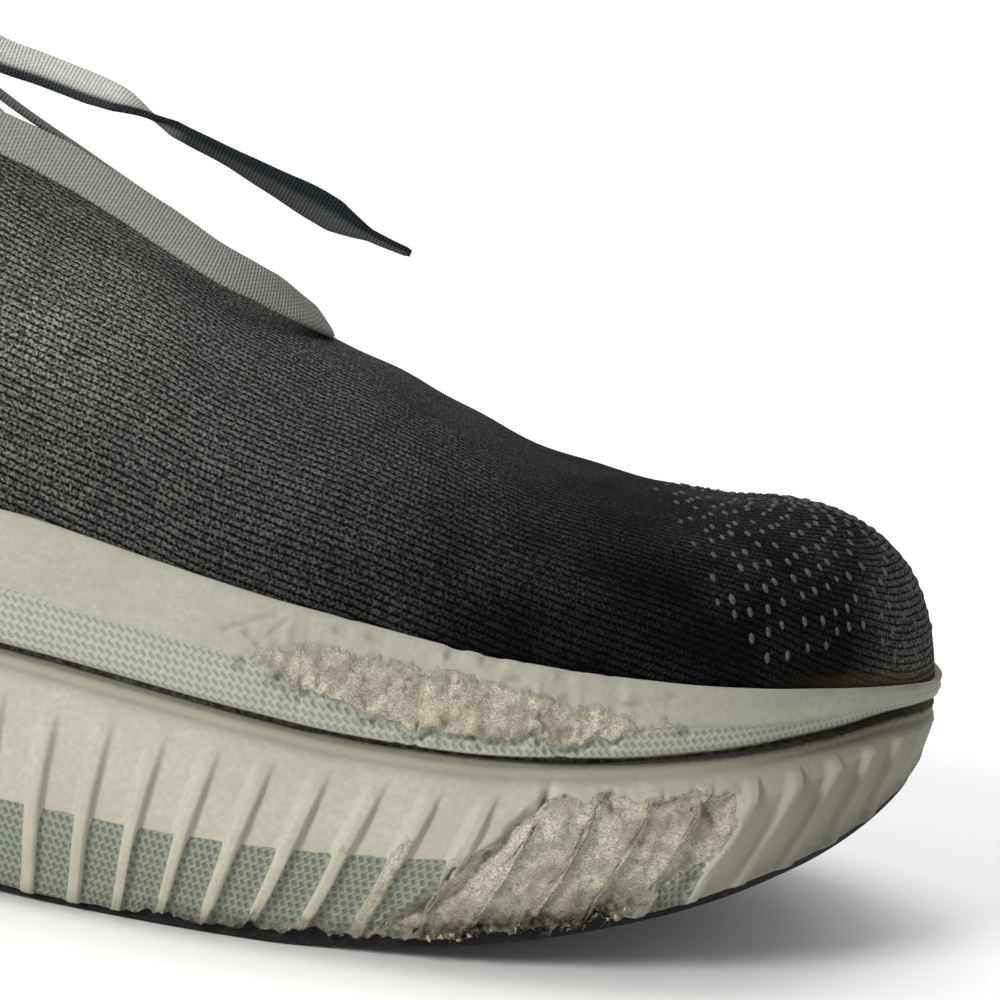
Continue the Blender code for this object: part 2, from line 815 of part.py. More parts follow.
def side_point(outline, side, share, v):
    """A point of the upper's skin: v runs from the rim, 0, to the column's end, 1."""
    curve = side_curve(outline, side, share)
    return Vector(bezier(curve, v * side_end(curve, share)))


def part_way(value, limits):
    """How far a value has come from the first limit to the second, from 0 to 1."""
    return min(max((value - limits[0]) / (limits[1] - limits[0]), 0.0), 1.0)


def upper_surface(outline):
    """The upper's outer skin as an open mesh, with its collar rows marked for padding."""

    def buried(lift):
        def point(side, share):
            inset = rim_inset(share) + CLEAR + CUP_TAPER * (1 - lift)
            x, y = outline.at(side, share, inset)
            low = height(FOOTBED, FOOTBED_HEIGHT, x) + CLEAR
            high = height(RIM_TOP, RIM_TOP_HEIGHT, x)
            return Vector((x, y, low + (high - low) * lift))

        return point

    def row(v):
        return lambda side, share: side_point(outline, side, share, v)

    levels = [buried(0.0), buried(0.5), row(0.0)] + [row(v) for v in UPPER_ROWS]
    bm = bmesh.new()
    pad = bm.verts.layers.deform.new()
    rings = []
    for number, level in enumerate(levels):
        ring = [bm.verts.new(p) for p in around(COLUMNS, level)]
        v = 0.0 if number < 3 else UPPER_ROWS[number - 3]
        shares = list(COLUMNS) + list(COLUMNS[1:-1])[::-1]
        for vertex, share in zip(ring, shares):
            vertex[pad][0] = part_way(share, PAD_STATIONS) * part_way(v, PAD_ROWS)
        rings.append(ring)
    for low, high in zip(rings, rings[1:]):
        for i in range(len(low)):
            j = (i + 1) % len(low)
            bm.faces.new((low[j], low[i], high[i], high[j]))
    bmesh.ops.remove_doubles(bm, verts=rings[-1], dist=0.00005)
    return bm


def upper(outline, finish, collection, cutters):
    """Knitted upper: one wall of even thickness, thicker round the collar, with lace holes."""
    made = new_object("upper", upper_surface(outline), finish, collection)
    made.vertex_groups.new(name="collar_pad")
    wall = made.modifiers.new("wall", "SOLIDIFY")
    wall.thickness = COLLAR_PAD
    wall.offset = -1.0
    wall.vertex_group = "collar_pad"
    wall.thickness_vertex_group = WALL / COLLAR_PAD
    wall.use_even_offset = False
    wall.use_quality_normals = True
    holes = bmesh.new()
    for side in (-1, 1):
        for share in EYELET_STATIONS:
            place, normal = eyelet(outline, side, share)
            turn = normal.to_track_quat("Z", "Y").to_matrix().to_4x4()
            bmesh.ops.create_cone(
                holes,
                cap_ends=True,
                segments=8,
                radius1=EYELET_RADIUS,
                radius2=EYELET_RADIUS,
                depth=WALL * 4,
                matrix=Matrix.Translation(place) @ turn,
            )
    cutter = new_object("eyelet_cutters", holes, finish, cutters)
    hide(cutter)
    cut = made.modifiers.new("eyelets", "BOOLEAN")
    cut.operation = "DIFFERENCE"
    cut.solver = "EXACT"
    cut.object = cutter
    return made


def hide(tool):
    tool.hide_render = True
    tool.display_type = "WIRE"


def throat_section(outline, share, reach):
    """Points and normals of the outer skin across the instep, from reach below one facing's
    edge to reach below the other's, with a bridge over the open throat."""
    halves = {}
    for side in (-1, 1):
        curve = side_curve(outline, side, share)
        end = side_end(curve, share)
        points = [Vector(bezier(curve, 1 - (1 - end) * k / 8)) for k in range(9)]
        length = 0.0
        for k in range(1, 60):
            place = Vector(bezier(curve, end * (1 - k / 70)))
            step = (place - points[-1]).length
            if length + step > reach:
                points.append(points[-1].lerp(place, (reach - length) / step))
                break
            length += step
            points.append(place)
        halves[side] = points
    return halves[-1][::-1] + halves[1][1:]


def at_share(line, share):
    """The point of a line of points at a share of its length."""
    steps = [(b - a).length for a, b in zip(line, line[1:])]
    want = min(max(share, 0.0), 1.0) * sum(steps)
    for a, b, step in zip(line, line[1:], steps):
        if want <= step:
            return a.lerp(b, want / step)
        want -= step
    return line[-1].copy()


def instep(outline, share, across, reach):
    """A point of the instep's skin and its outward normal. Across runs from 0, outer, to 1."""
    step = 0.004
    here = at_share(throat_section(outline, share, reach), across)
    ahead = at_share(throat_section(outline, share + step, reach), across)
    behind = at_share(throat_section(outline, share - step, reach), across)
    left = at_share(throat_section(outline, share, reach), across - 0.02)
    right = at_share(throat_section(outline, share, reach), across + 0.02)
    return here, (ahead - behind).cross(right - left).normalized()


def eyelet(outline, side, share):
    return instep(outline, share, 0.0 if side < 0 else 1.0, EYELET_SETBACK)


def tongue(outline, finish, collection):
    """Padded tongue under the throat: a shell that follows the upper's inside, and stands above it."""
    stations = (0.535, 0.510, 0.480, 0.450, 0.420, 0.390, 0.360, 0.335, 0.312)
    across = [k / 8 for k in range(9)]
    bm = bmesh.new()
    rows = []
    for number, share in enumerate(stations):
        reach = TONGUE_REACH * (1.0 if number < 6 else 1.0 - 0.14 * (number - 5))
        row = []
        for part in across:
            place, normal = instep(outline, share, part, reach)
            row.append(place - normal * (WALL + TONGUE_CLEAR))
        rows.append(row)
    slope = (rows[-1][4] - rows[-3][4]).normalized()
    for number, part in enumerate((0.35, 0.7, 1.0)):
        middle = rows[len(stations) - 1][4]
        row = []
        for place in rows[len(stations) - 1]:
            width = 1.0 - 0.05 * (number + 1) - (0.12 if part == 1.0 else 0.0)
            away = Vector((place.x, middle.y + (place.y - middle.y) * width, place.z))
            away.z = middle.z + (place.z - middle.z) * width
            curl = Vector((-TONGUE_CURL, 0.0, TONGUE_CURL)) * number
            row.append(away + slope * TONGUE_RISE * part + curl)
        rows.append(row)
    made = [[bm.verts.new(p) for p in row] for row in rows]
    for a, b in zip(made, made[1:]):
        for k in range(len(a) - 1):
            bm.faces.new((a[k], a[k + 1], b[k + 1], b[k]))
    piece = new_object("tongue", bm, finish, collection)
    thick = piece.modifiers.new("padding", "SOLIDIFY")
    thick.thickness = TONGUE_THICKNESS
    thick.offset = -1.0
    thick.use_quality_normals = True
    return piece


def lace_strip(bm, path, lift, width):
    """A flat strip of lace along points that are given with their surface normals."""
    sections = []
    for k, (place, normal) in enumerate(path):
        before = path[max(k - 1, 0)][0]
        after = path[min(k + 1, len(path) - 1)][0]
        wide = (after - before).normalized().cross(normal).normalized() * width / 2
        low = place + normal * lift
        high = low + normal * LACE_THICKNESS
        sections.append([bm.verts.new(p) for p in (low - wide, low + wide, high + wide, high - wide)])
    for a, b in zip(sections, sections[1:]):
        for k in range(4):
            bm.faces.new((a[k], a[(k + 1) % 4], b[(k + 1) % 4], b[k]))
    bm.faces.new(sections[0][::-1])
    bm.faces.new(sections[-1])


def lace_bars(outline, finish, collection, cutters):
    """The laced part: one bar across the lowest holes and a crossing between each two pairs."""
    runs = [(EYELET_STATIONS[0], EYELET_STATIONS[0], 1)]
    for low, high in zip(EYELET_STATIONS, EYELET_STATIONS[1:]):
        runs += [(low, high, 1), (low, high, -1)]
    pieces = []
    for number, (start, end, way) in enumerate(runs):
        path = []
        for k in range(8):
            t = k / 7
            across = t if way > 0 else 1 - t
            path.append(instep(outline, start + (end - start) * t, across, EYELET_SETBACK))
        bm = bmesh.new()
        layer = number % 3
        lift = CLEAR * 2 + LACE_THICKNESS * 0.22 * layer
        lace_strip(bm, path, lift, LACE_WIDTH * (1.0 - 0.03 * layer))
        bmesh.ops.recalc_face_normals(bm, faces=bm.faces)
        home = collection if number == 0 else cutters
        name = "lace_bars" if number == 0 else f"lace_run_{number}"
        pieces.append(new_object(name, bm, finish, home))
    for tool in pieces[1:]:
        hide(tool)
        join = pieces[0].modifiers.new(tool.name, "BOOLEAN")
        join.operation = "UNION"
        join.solver = "EXACT"
        join.object = tool
    return pieces[0]


def smooth_route(points, step):
    """Points every step or so along a smooth curve through the route's own points."""
    knots = [Vector(p) for p in points]
    ends = [knots[0] * 2 - knots[1]] + knots + [knots[-1] * 2 - knots[-2]]
    dense = []
    for a, b, c, d in zip(ends, ends[1:], ends[2:], ends[3:]):
        for k in range(20):
            t = k / 20
            dense.append(
                (b * 2 + (c - a) * t + (a * 2 - b * 5 + c * 4 - d) * t**2
                 + (b * 3 - a - c * 3 + d) * t**3) / 2
            )
    dense.append(knots[-1])
    length = sum((b - a).length for a, b in zip(dense, dense[1:]))
    count = max(4, round(length / step))
    return [at_share(dense, k / count) for k in range(count + 1)]


def lace_tube(name, points, finish, collection):
    curve = bpy.data.curves.new(name, "CURVE")
    curve.dimensions = "3D"
    curve.bevel_depth = LACE_TUBE / 2
    curve.bevel_resolution = 2
    curve.use_fill_caps = True
    curve.materials.append(finish)
    line = smooth_route(points, LACE_TUBE * 2.8)
    spline = curve.splines.new("POLY")
    spline.points.add(len(line) - 1)
    for target, place in zip(spline.points, line):
        target.co = (*place, 1.0)
    made = bpy.data.objects.new(name, curve)
    collection.objects.link(made)
    return made


def at_knot(towards):
    """The point just off the knot's surface on the line from its centre to another point."""
    turn = Matrix.Rotation(KNOT_TILT, 3, "Y")
    way = (Vector(towards) - Vector(KNOT_CENTRE)).normalized()
    local = turn.transposed() @ way
    radius = 1 / math.sqrt(sum((2 * a / b) ** 2 for a, b in zip(local, KNOT_SIZE)))
    return Vector(KNOT_CENTRE) + way * (radius + CLEAR * 2)


def lace_route(name):
    """A route with its ends brought to the knot, where they meet it."""
    points = [Vector(p) for p in LACE_ROUTES[name]]
    points[0] = at_knot(points[1])
    if "loop" in name:
        points[-1] = at_knot(points[-2])
    return points


def knot(finish, collection):
    bm = bmesh.new()
    bmesh.ops.create_uvsphere(bm, u_segments=12, v_segments=7, radius=0.5)
    made = new_object("lace_knot", bm, finish, collection)
    for vertex in made.data.vertices:
        vertex.co = Vector(a * b for a, b in zip(vertex.co, KNOT_SIZE))
    made.location = KNOT_CENTRE
    made.rotation_euler = (0.0, KNOT_TILT, 0.0)
    return made


def main():
    for old in list(bpy.data.objects):
        bpy.data.objects.remove(old, do_unlink=True)
    shoe = bpy.data.collections.new("running_shoe")
    cutters = bpy.data.collections.new("cutters")
    for collection in (shoe, cutters):
        bpy.context.scene.collection.children.link(collection)
    knit = material("charcoal_knit", (0.035, 0.041, 0.039), 0.9)
    padding = material("tongue_knit", (0.045, 0.050, 0.048), 0.9)
    lining = material("insole_cloth", (0.060, 0.064, 0.062), 0.9)
    rim_foam = material("rim_foam", (0.42, 0.41, 0.34), 0.75)
    lower_foam = material("lower_foam", (0.36, 0.36, 0.28), 0.8)
    rubber = material("outsole_rubber", (0.012, 0.013, 0.014), 0.7)
    lace = material("grey_lace", (0.30, 0.31, 0.31), 0.85)
    outline = Outline()
    outsole(outline, rubber, shoe)
    foam_lower(outline, lower_foam, shoe)
    foam_rim(outline, rim_foam, shoe)
    insole(outline, lining, shoe)
    upper(outline, knit, shoe, cutters)
    tongue(outline, padding, shoe)
    lace_bars(outline, lace, shoe, cutters)
    knot(lace, shoe)
    for name in LACE_ROUTES:
        lace_tube(name, lace_route(name), lace, shoe)


main()
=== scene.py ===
"""A worn right running shoe, dressed for its picture: knit, torn foam, flat lace, pale studio."""

import functools
import itertools
import math

import bmesh
import bpy
import numpy as np
from mathutils import Matrix, Vector


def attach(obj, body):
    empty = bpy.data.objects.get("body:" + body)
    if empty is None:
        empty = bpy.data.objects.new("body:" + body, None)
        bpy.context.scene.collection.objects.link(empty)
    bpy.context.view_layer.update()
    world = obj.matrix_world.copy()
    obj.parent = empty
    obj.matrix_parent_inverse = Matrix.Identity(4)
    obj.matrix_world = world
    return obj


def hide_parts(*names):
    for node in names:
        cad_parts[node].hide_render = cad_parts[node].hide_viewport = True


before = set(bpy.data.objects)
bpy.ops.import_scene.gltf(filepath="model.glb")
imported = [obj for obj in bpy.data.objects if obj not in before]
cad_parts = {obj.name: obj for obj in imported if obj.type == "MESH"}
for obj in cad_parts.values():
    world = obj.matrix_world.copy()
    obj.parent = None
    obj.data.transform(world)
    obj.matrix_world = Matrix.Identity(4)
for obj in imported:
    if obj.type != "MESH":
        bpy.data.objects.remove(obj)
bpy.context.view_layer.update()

# Looks
ZIGZAG_PITCH = 0.0013
ZIGZAG_ROW = 0.0014
FOAM_RELIEF = 0.0003
KNIT_ROW = 0.0013
KNIT_STITCH = 0.00085
KNIT_RELIEF = 0.00022
LACE_WEAVE = 0.0006
TOE_DOT_PITCH = 0.004
TOE_DOT_ROW = 0.0041
# Brown that the foam's dirt and painted shade darken towards
DIRT_AND_SHADE_DARK = (44, 37, 28)
FLOOR_LEVEL = -0.0002
SLOT_HEIGHT = 0.0015
SLOT_DEPTH = 0.003
TREAD_PITCH = 0.0125
TREAD_GROOVE = 0.0022
TREAD_DEPTH = 0.0015
CENTRE_CHANNEL = 0.009
EDGE_BAND = 0.0022

# Colours from 0 to 255. Foam: plain, textured, worn, tan. Knit: light, dark, fleck, faint.
RIM_COLOURS = ((154, 154, 142), (152, 155, 143), (204, 200, 178), (176, 165, 146))
# The lower foam's textured colour is darker than its plain one as painted shade of that zone, which faces
# down.
LOWER_COLOURS = ((166, 165, 149), (124, 129, 117), (216, 212, 192), (172, 160, 139))
KNIT_COLOURS = ((59, 62, 60), (6, 7, 8), (152, 154, 149), (21, 24, 23))
TONGUE_COLOURS = ((66, 69, 66), (24, 27, 26), (140, 142, 138), (60, 63, 61))
INSOLE_COLOURS = ((62, 64, 62), (38, 40, 39))
STITCH_COLOUR = (76, 79, 77)
FIBRE_COLOUR = (196, 192, 174)
DUST_COLOUR = (86, 72, 52)

# Lamps: name, place, target, size, power, colour
LAMPS = (
    ("key", (-0.62, -0.8, 0.5), (0.03, 0.0, 0.04), 0.3, 11.0, (1.0, 0.985, 0.95)),
    ("top", (-0.15, 0.1, 1.2), (0.03, 0.0, 0.04), 0.8, 5.5, (1.0, 1.0, 1.0)),
    ("sheet_light", (0.3, 0.6, 1.6), (0.3, 1.9, 0.9), 1.2, 22.0, (1.0, 1.0, 1.0)),
)
SKY_STRENGTH = 0.42

# Camera, worked back from the photo, and how fine the pieces are
CAMERA_PLACE = (0.0728, -0.45208, 0.13627)
CAMERA_RISE = math.radians(9.0)
CAMERA_ROLL = math.radians(8.5)
CAMERA_LENS = 97.92
LACE_GAP = 0.0009
UPPER_ROWS = 66
FIBRE_DRIFT = np.array([-0.35, 0.0, -0.75])
FIBRE_RADIUS = 0.00004
RIM_FIBRES = 2600
TORN_FIBRES = 3600
SCRAPS = 90

# Sole
SOLE_LENGTH = 0.305
BALL_WIDTH = 0.113
HEEL_WIDTH = 0.087
WAIST_WIDTH = 0.092
RIM_TOP_HEIGHT = 0.052
RIDGE_HEIGHT = 0.0435
GROOVE_HEIGHT = 0.033
WIDEST_HEIGHT = 0.0165
FOOTBED_HEIGHT = 0.0375
TOE_SPRING = 0.038
RIM_WIDTH = 0.009
RIDGE_INSET = 0.0032
CREST_WIDTH = 0.0008
CUP_TAPER = 0.0009
GROOVE_INSET = 0.0048
LIP_HEIGHT = 0.0017
LIP_INSET = 0.0056
SHOULDER_INSET = 0.0037
TUCK_INSET = 0.0034
RIB_PITCH = 0.0087
RIB_WIDTH = 0.0026
RIB_PROUD = 0.0011
RIB_START = 0.0099
RIB_SLANT = 0.42
TOE_TUCK = 0.001
OUTSOLE_THICKNESS = 0.003

# Upper, tongue and insole
CREST_HEIGHT = 0.113
COLLAR_HEIGHT = 0.1065
COLLAR_HALF_WIDTH = 0.0335
WALL = 0.0022
COLLAR_PAD = 0.0058
PAD_STATIONS = (0.3, 0.24)
PAD_ROWS = (0.3, 0.7)
THROAT_HALF_WIDTH = 0.013
EYELET_RADIUS = 0.0021
EYELET_SETBACK = 0.0068
EYELET_STATIONS = (0.434, 0.395, 0.356, 0.317)
TONGUE_THICKNESS = 0.0038
TONGUE_REACH = 0.01
TONGUE_RISE = 0.016
TONGUE_CURL = 0.0011
INSOLE_THICKNESS = 0.004

# Lace
LACE_WIDTH = 0.007
LACE_THICKNESS = 0.0013
KNOT_SIZE = (0.017, 0.015, 0.0085)

# Gaps between pieces
CLEAR = 0.0003
INSOLE_CLEAR = 0.0006
TONGUE_CLEAR = 0.0011

# Outline of the foam at its widest line: station, half width to the outer side and to the inner
# side, each as a share of the width named in the last column.
OUTLINE = (
    (1, 0, 0, "tip"), (0.995, 0.14, 0.235, "ball"), (0.985, 0.245, 0.37, "ball"),
    (0.96, 0.42, 0.555, "ball"), (0.93, 0.58, 0.695, "ball"), (0.89, 0.74, 0.825, "ball"),
    (0.83, 0.895, 0.93, "ball"), (0.76, 0.98, 0.985, "ball"), (0.69, 1, 0.99, "ball"),
    (0.62, 1, 0.94, "ball"), (0.54, 1.17, 0.99, "waist"), (0.45, 1.1, 0.885, "waist"),
    (0.36, 1.02, 0.865, "waist"), (0.27, 1.04, 0.96, "heel"), (0.18, 1.02, 1, "heel"),
    (0.11, 0.94, 0.95, "heel"), (0.055, 0.76, 0.79, "heel"), (0.02, 0.49, 0.54, "heel"),
    (0.005, 0.24, 0.3, "heel"), (0, 0, 0, "back"),
)
TIP_ACROSS = 0.005
BACK_ACROSS = 0.001


def hermite(t, start, end, start_slope, end_slope):
    first = (2 * t**3 - 3 * t**2 + 1) * start + (t**3 - 2 * t**2 + t) * start_slope
    return first + (3 * t**2 - 2 * t**3) * end + (t**3 - t**2) * end_slope


def smooth(table, at):
    """A monotone cubic through the table's points, which never runs past them."""
    knots = np.array([row[:2] for row in table], dtype=float)
    xs, ys = knots[knots[:, 0].argsort()].T
    at = np.clip(at, xs[0], xs[-1])
    steps = np.diff(ys) / np.diff(xs)
    product = steps[:-1] * steps[1:]
    total = np.where(product > 0, steps[:-1] + steps[1:], 1.0)
    inner = np.where(product > 0, 2 * product / total, 0.0)
    slopes = np.concatenate([steps[:1], inner, steps[-1:]])
    i = np.clip(np.searchsorted(xs, at, "right") - 1, 0, len(xs) - 2)
    width = xs[i + 1] - xs[i]
    t = (at - xs[i]) / width
    return hermite(t, ys[i], ys[i + 1], width * slopes[i], width * slopes[i + 1])


def station(x):
    return x / SOLE_LENGTH + 0.5


def along(share):
    return (share - 0.5) * SOLE_LENGTH


def level_line(size, table):
    """The height at x of a line along the sole, from stations and their shares of the size."""
    return lambda x: size * smooth(table, station(x))


# Heights along the side of the sole: station, share of the height named.
bottom_z = level_line(TOE_SPRING, (
    (0, 0.23), (0.03, 0.125), (0.07, 0.03), (0.11, 0), (0.23, 0), (0.3, 0.035), (0.37, 0.065),
    (0.44, 0.058), (0.5, 0.024), (0.555, 0), (0.655, 0), (0.697, 0.034), (0.74, 0.076), (0.782, 0.134),
    (0.82, 0.206), (0.86, 0.293), (0.9, 0.398), (0.933, 0.49), (0.957, 0.578), (0.98, 0.695),
    (1, 0.83),
))
widest_z = level_line(WIDEST_HEIGHT, (
    (0, 1.3), (0.17, 1.12), (0.34, 1.06), (0.5, 1.02), (0.6, 0.99), (0.655, 1.01), (0.713, 1.08),
    (0.746, 1.14), (0.795, 1.31), (0.844, 1.53), (0.893, 1.8), (0.936, 2.07), (0.969, 2.26), (1, 2.37),
))
groove_z = level_line(GROOVE_HEIGHT, (
    (0, 1.21), (0.17, 1.23), (0.34, 1.215), (0.434, 1.175), (0.5, 1.13), (0.566, 1.07), (0.631, 1.01),
    (0.684, 0.968), (0.733, 0.96), (0.808, 1.004), (0.861, 1.065), (0.91, 1.14), (0.936, 1.18),
    (0.969, 1.23), (1, 1.245),
))
ridge_z = level_line(RIDGE_HEIGHT, (
    (0, 1.24), (0.17, 1.22), (0.34, 1.18), (0.434, 1.145), (0.5, 1.108), (0.549, 1.06), (0.592, 1.032),
    (0.625, 1.012), (0.684, 0.984), (0.756, 0.961), (0.828, 0.952), (0.907, 0.97), (0.933, 0.985),
    (0.966, 1), (1, 1.005),
))
rim_top_z = level_line(RIM_TOP_HEIGHT, (
    (0, 1.23), (0.17, 1.2), (0.34, 1.17), (0.434, 1.15), (0.5, 1.123), (0.566, 1.065), (0.622, 1.015),
    (0.687, 0.969), (0.75, 0.931), (0.802, 0.914), (0.854, 0.906), (0.907, 0.904), (0.949, 0.896),
    (0.982, 0.885), (1, 0.88),
))
footbed_z = level_line(FOOTBED_HEIGHT, (
    (0, 1.16), (0.17, 1.135), (0.34, 1.128), (0.434, 1.112), (0.5, 1.088), (0.566, 1.048),
    (0.631, 1.01), (0.697, 0.987), (0.746, 0.987), (0.795, 1.013), (0.844, 1.056), (0.893, 1.099),
    (0.943, 1.13), (1, 1.147),
))
RIM_INSET = (
    (0, 0.8), (0.17, 0.95), (0.5, 1.05), (0.631, 1), (0.746, 0.9), (0.828, 0.8), (0.893, 0.65),
    (0.943, 0.42), (0.975, 0.26), (1, 0.17),
)
RIDGE_SHARE = (
    (0, 0.7), (0.17, 1), (0.828, 1), (0.943, 0.6), (1, 0.15),
)
# How far the lower foam draws back under the toe, as a share of the toe tuck.
UNDER_TOE = (
    (0, 0), (0.88, 0), (0.94, 0.22), (0.975, 0.6), (1, 1),
)
# Lean of the side ribs: their feet move back in the forefoot and forward in the heel.
SLANT = (
    (0, 0), (0.12, -0.35), (0.3, -0.5), (0.53, 0), (0.74, 1), (0.9, 1.1), (0.97, 0.6), (1, 0),
)

# Crest of the upper, from the throat's top to the toe: station, share of the crest height.
crest_z = level_line(CREST_HEIGHT, (
    (0.22, 1.23), (0.27, 1.178), (0.31, 1.137), (0.353, 1.097), (0.402, 1.049), (0.444, 1),
    (0.478, 0.956), (0.513, 0.914), (0.548, 0.872), (0.589, 0.813), (0.628, 0.775), (0.67, 0.741),
    (0.71, 0.698), (0.739, 0.667), (0.769, 0.642), (0.808, 0.624), (0.844, 0.623), (0.887, 0.636),
    (1, 0.64),
))
CREST_ACROSS = 0.004

# Sides of the upper. Foot is the station on the sole's outline and top the station of the same
# column's end. Open is the end's distance from the crest line as a share of the throat's half
# width. Rise and reach are the pull of the curve at its foot and at its end, as shares of its
# height and of its span, and lean is how far it leaves the sole outward for each unit upward.
SIDES = (
    (1, 0.885, 0, 0.8, 0.52, -0.17), (0.98, 0.88, 0, 0.8, 0.52, -0.16),
    (0.96, 0.87, 0, 0.8, 0.54, -0.12), (0.93, 0.852, 0, 0.78, 0.56, -0.06),
    (0.893, 0.828, 0, 0.74, 0.58, 0), (0.85, 0.8, 0, 0.7, 0.58, 0.05),
    (0.8, 0.77, 0, 0.66, 0.56, 0.08), (0.74, 0.725, 0, 0.62, 0.54, 0.1),
    (0.69, 0.684, 0, 0.6, 0.52, 0.11), (0.62, 0.618, 0, 0.58, 0.5, 0.12),
    (0.56, 0.559, 0, 0.56, 0.48, 0.12), (0.485, 0.485, 0, 0.55, 0.46, 0.1),
    (0.478, 0.478, 0.4, 0.55, 0.46, 0.1), (0.46, 0.46, 0.6, 0.54, 0.45, 0.1),
    (0.43, 0.43, 0.74, 0.54, 0.45, 0.09), (0.36, 0.36, 0.9, 0.53, 0.44, 0.07),
    (0.305, 0.305, 1, 0.52, 0.43, 0.05),
)
# Collar line behind the throat: foot, top, share of the collar's half width, share of the
# collar's height, rise, reach and lean as above.
COLLAR = (
    (0.285, 0.29, 0.7, 1.115, 0.5, 0.34, 0.05), (0.262, 0.268, 0.81, 1.025, 0.48, 0.32, 0.04),
    (0.23, 0.235, 0.92, 0.945, 0.46, 0.3, 0.04), (0.19, 0.192, 0.985, 0.885, 0.44, 0.28, 0.04),
    (0.145, 0.144, 1, 0.862, 0.44, 0.28, 0.05), (0.1, 0.096, 0.93, 0.878, 0.44, 0.28, 0.08),
    (0.06, 0.056, 0.74, 0.925, 0.44, 0.28, 0.12), (0.03, 0.032, 0.52, 0.966, 0.44, 0.28, 0.15),
    (0.01, 0.022, 0.28, 0.992, 0.44, 0.28, 0.17), (0, 0.019, 0, 1, 0.44, 0.28, 0.18),
)

# Routes of the free lace, from the knot, in millimetres.
LACE_ROUTES = {
    "lace_end_outer": (
        (-44.5, -3, 140), (-38.5, -6, 138.5), (-29, -8.5, 132), (-18, -9, 126.2), (-11, -8, 124.7),
        (-4, -8, 123.1), (3, -8.5, 121.5), (8.5, -9, 119.6), (14, -9, 117.6), (20, -8.8, 115.6),
        (27, -8.5, 113), (35, -8, 110), (43, -8, 106.8), (48, -8, 105.2), (52.5, -8, 104),
    ),
    "lace_loop_outer": (
        (-46, -11, 129), (-40, -16.5, 124), (-28, -18, 119), (-17, -18, 115), (-6, -16.5, 111.5),
        (4, -15, 107.2), (13, -13.5, 102.8), (22, -12, 98.3), (30, -8.5, 95), (36.5, -3, 91.6),
        (38.8, 4, 89.8), (35, 10.5, 90.8), (27, 14.5, 94), (17, 15, 99), (6, 13.5, 105.2),
        (-5, 11, 111), (-16, 8, 116.8), (-27, 5.5, 123.2), (-37, 3.5, 129),
    ),
    "lace_loop_inner": (
        (-50, 12, 133.5), (-47, 20, 131), (-42, 27, 124), (-37, 33, 115), (-32, 38, 105),
        (-27, 41, 96), (-20, 42.5, 89), (-12, 42, 88), (-8, 39.5, 93.5), (-12, 36, 100),
        (-19, 31, 108), (-26, 25, 115), (-33, 18, 121.5), (-39, 12, 127),
    ),
    "lace_end_inner": (
        (-56, 9, 134.5), (-59, 19, 133.5), (-60, 29, 124), (-59, 36, 113), (-57, 41, 102),
        (-54.5, 45, 91), (-52, 48, 80), (-49, 50, 70),
    ),
}
KNOT_CENTRE = (-0.05, 0.003, 0.135)
KNOT_TILT = math.radians(24)

# Damage on the outer side, as flat points (x, z) typed in millimetres
TORN_FOAM = np.array((
    (85.5, 28.6), (90.8, 28.6), (96.1, 29.6), (102.4, 29.4), (110, 31.3), (115.7, 30.8), (116.8, 26.8),
    (113.9, 21.8), (110.6, 17.6), (105, 12.6), (97.7, 9.1), (88.8, 6.4), (78.2, 4.8), (67.6, 4.4),
    (65.1, 6.2), (69.5, 12.2), (74.3, 15.9), (77.5, 20.2), (81.6, 23.7),
)) / 1000
SCRAPED_RIM = np.array((
    (37.8, 43.7), (40.5, 45.5), (46, 47), (53.7, 47.2), (64.3, 46.8), (76.6, 45.8), (85.9, 44.5),
    (95.5, 43.2), (105.2, 42.1), (106.9, 41.2), (101, 38), (91.7, 35), (78.1, 34.5), (70.4, 34.5),
    (61.7, 35.5), (55.5, 36), (47, 38), (40.9, 41.5),
)) / 1000
# How far the rim's ridge has worn down, typed in millimetres: x and drop
RIDGE_WEAR = np.array((
    (30, 0), (38, 0.3), (47, 3.4), (55, 4.9), (62, 5.2), (70, 5.2), (80, 4.7), (91, 4.4), (97, 3),
    (101, 1.2), (106, 0.2), (112, 0),
)) / 1000
# Tears in the lower foam, in metres: depth, width, and the points that each runs through
TEARS = (
    (0.0016, 0.0011, (
        (0.0868, 0.029), (0.0846, 0.0262), (0.0822, 0.0236), (0.0806, 0.0205), (0.079, 0.0188),
    )),
    (0.0012, 0.0008, ((0.0962, 0.0296), (0.0972, 0.0277), (0.099, 0.0272))),
    (0.001, 0.0007, ((0.1037, 0.0292), (0.1052, 0.0286))),
    (0.0012, 0.0008, ((0.1104, 0.0293), (0.1127, 0.028), (0.114, 0.0262))),
    (0.0013, 0.0009, ((0.0742, 0.0165), (0.0716, 0.0128), (0.0696, 0.0092), (0.0672, 0.0066))),
    (0.001, 0.0008, ((0.079, 0.0188), (0.0765, 0.015), (0.0752, 0.0118))),
)
# Fine cuts in the rim's bevel, written in the same way
CREASES = (
    (0.0005, 0.0005, ((0.0345, 0.047), (0.0375, 0.0484), (0.0405, 0.0497), (0.042, 0.05))),
    (0.0004, 0.0005, ((0.0415, 0.0474), (0.0428, 0.0486), (0.0438, 0.0496))),
    (0.0006, 0.001, ((0.0515, 0.0492), (0.0528, 0.049))),
    (0.0006, 0.0011, ((0.0565, 0.0488), (0.0585, 0.0485))),
    (0.0007, 0.0012, ((0.069, 0.0483), (0.0702, 0.0482))),
    (0.0008, 0.0012, ((0.0742, 0.0477), (0.0762, 0.0475))),
    (0.0005, 0.001, ((0.086, 0.0467), (0.0872, 0.0465))),
)
# Soft folds where the forefoot bends: station on the crest, lean, depth, half width
FOLDS = (
    (0.702, 0.16, 0.0005, 0.007),
    (0.752, 0.12, 0.0006, 0.008),
    (0.655, 0.2, 0.0003, 0.006),
)


def blend(a, b, start, end, t):
    return (end - t) / (end - start) * a + (t - start) / (end - start) * b


def norm(vectors):
    return np.linalg.norm(vectors, axis=-1)


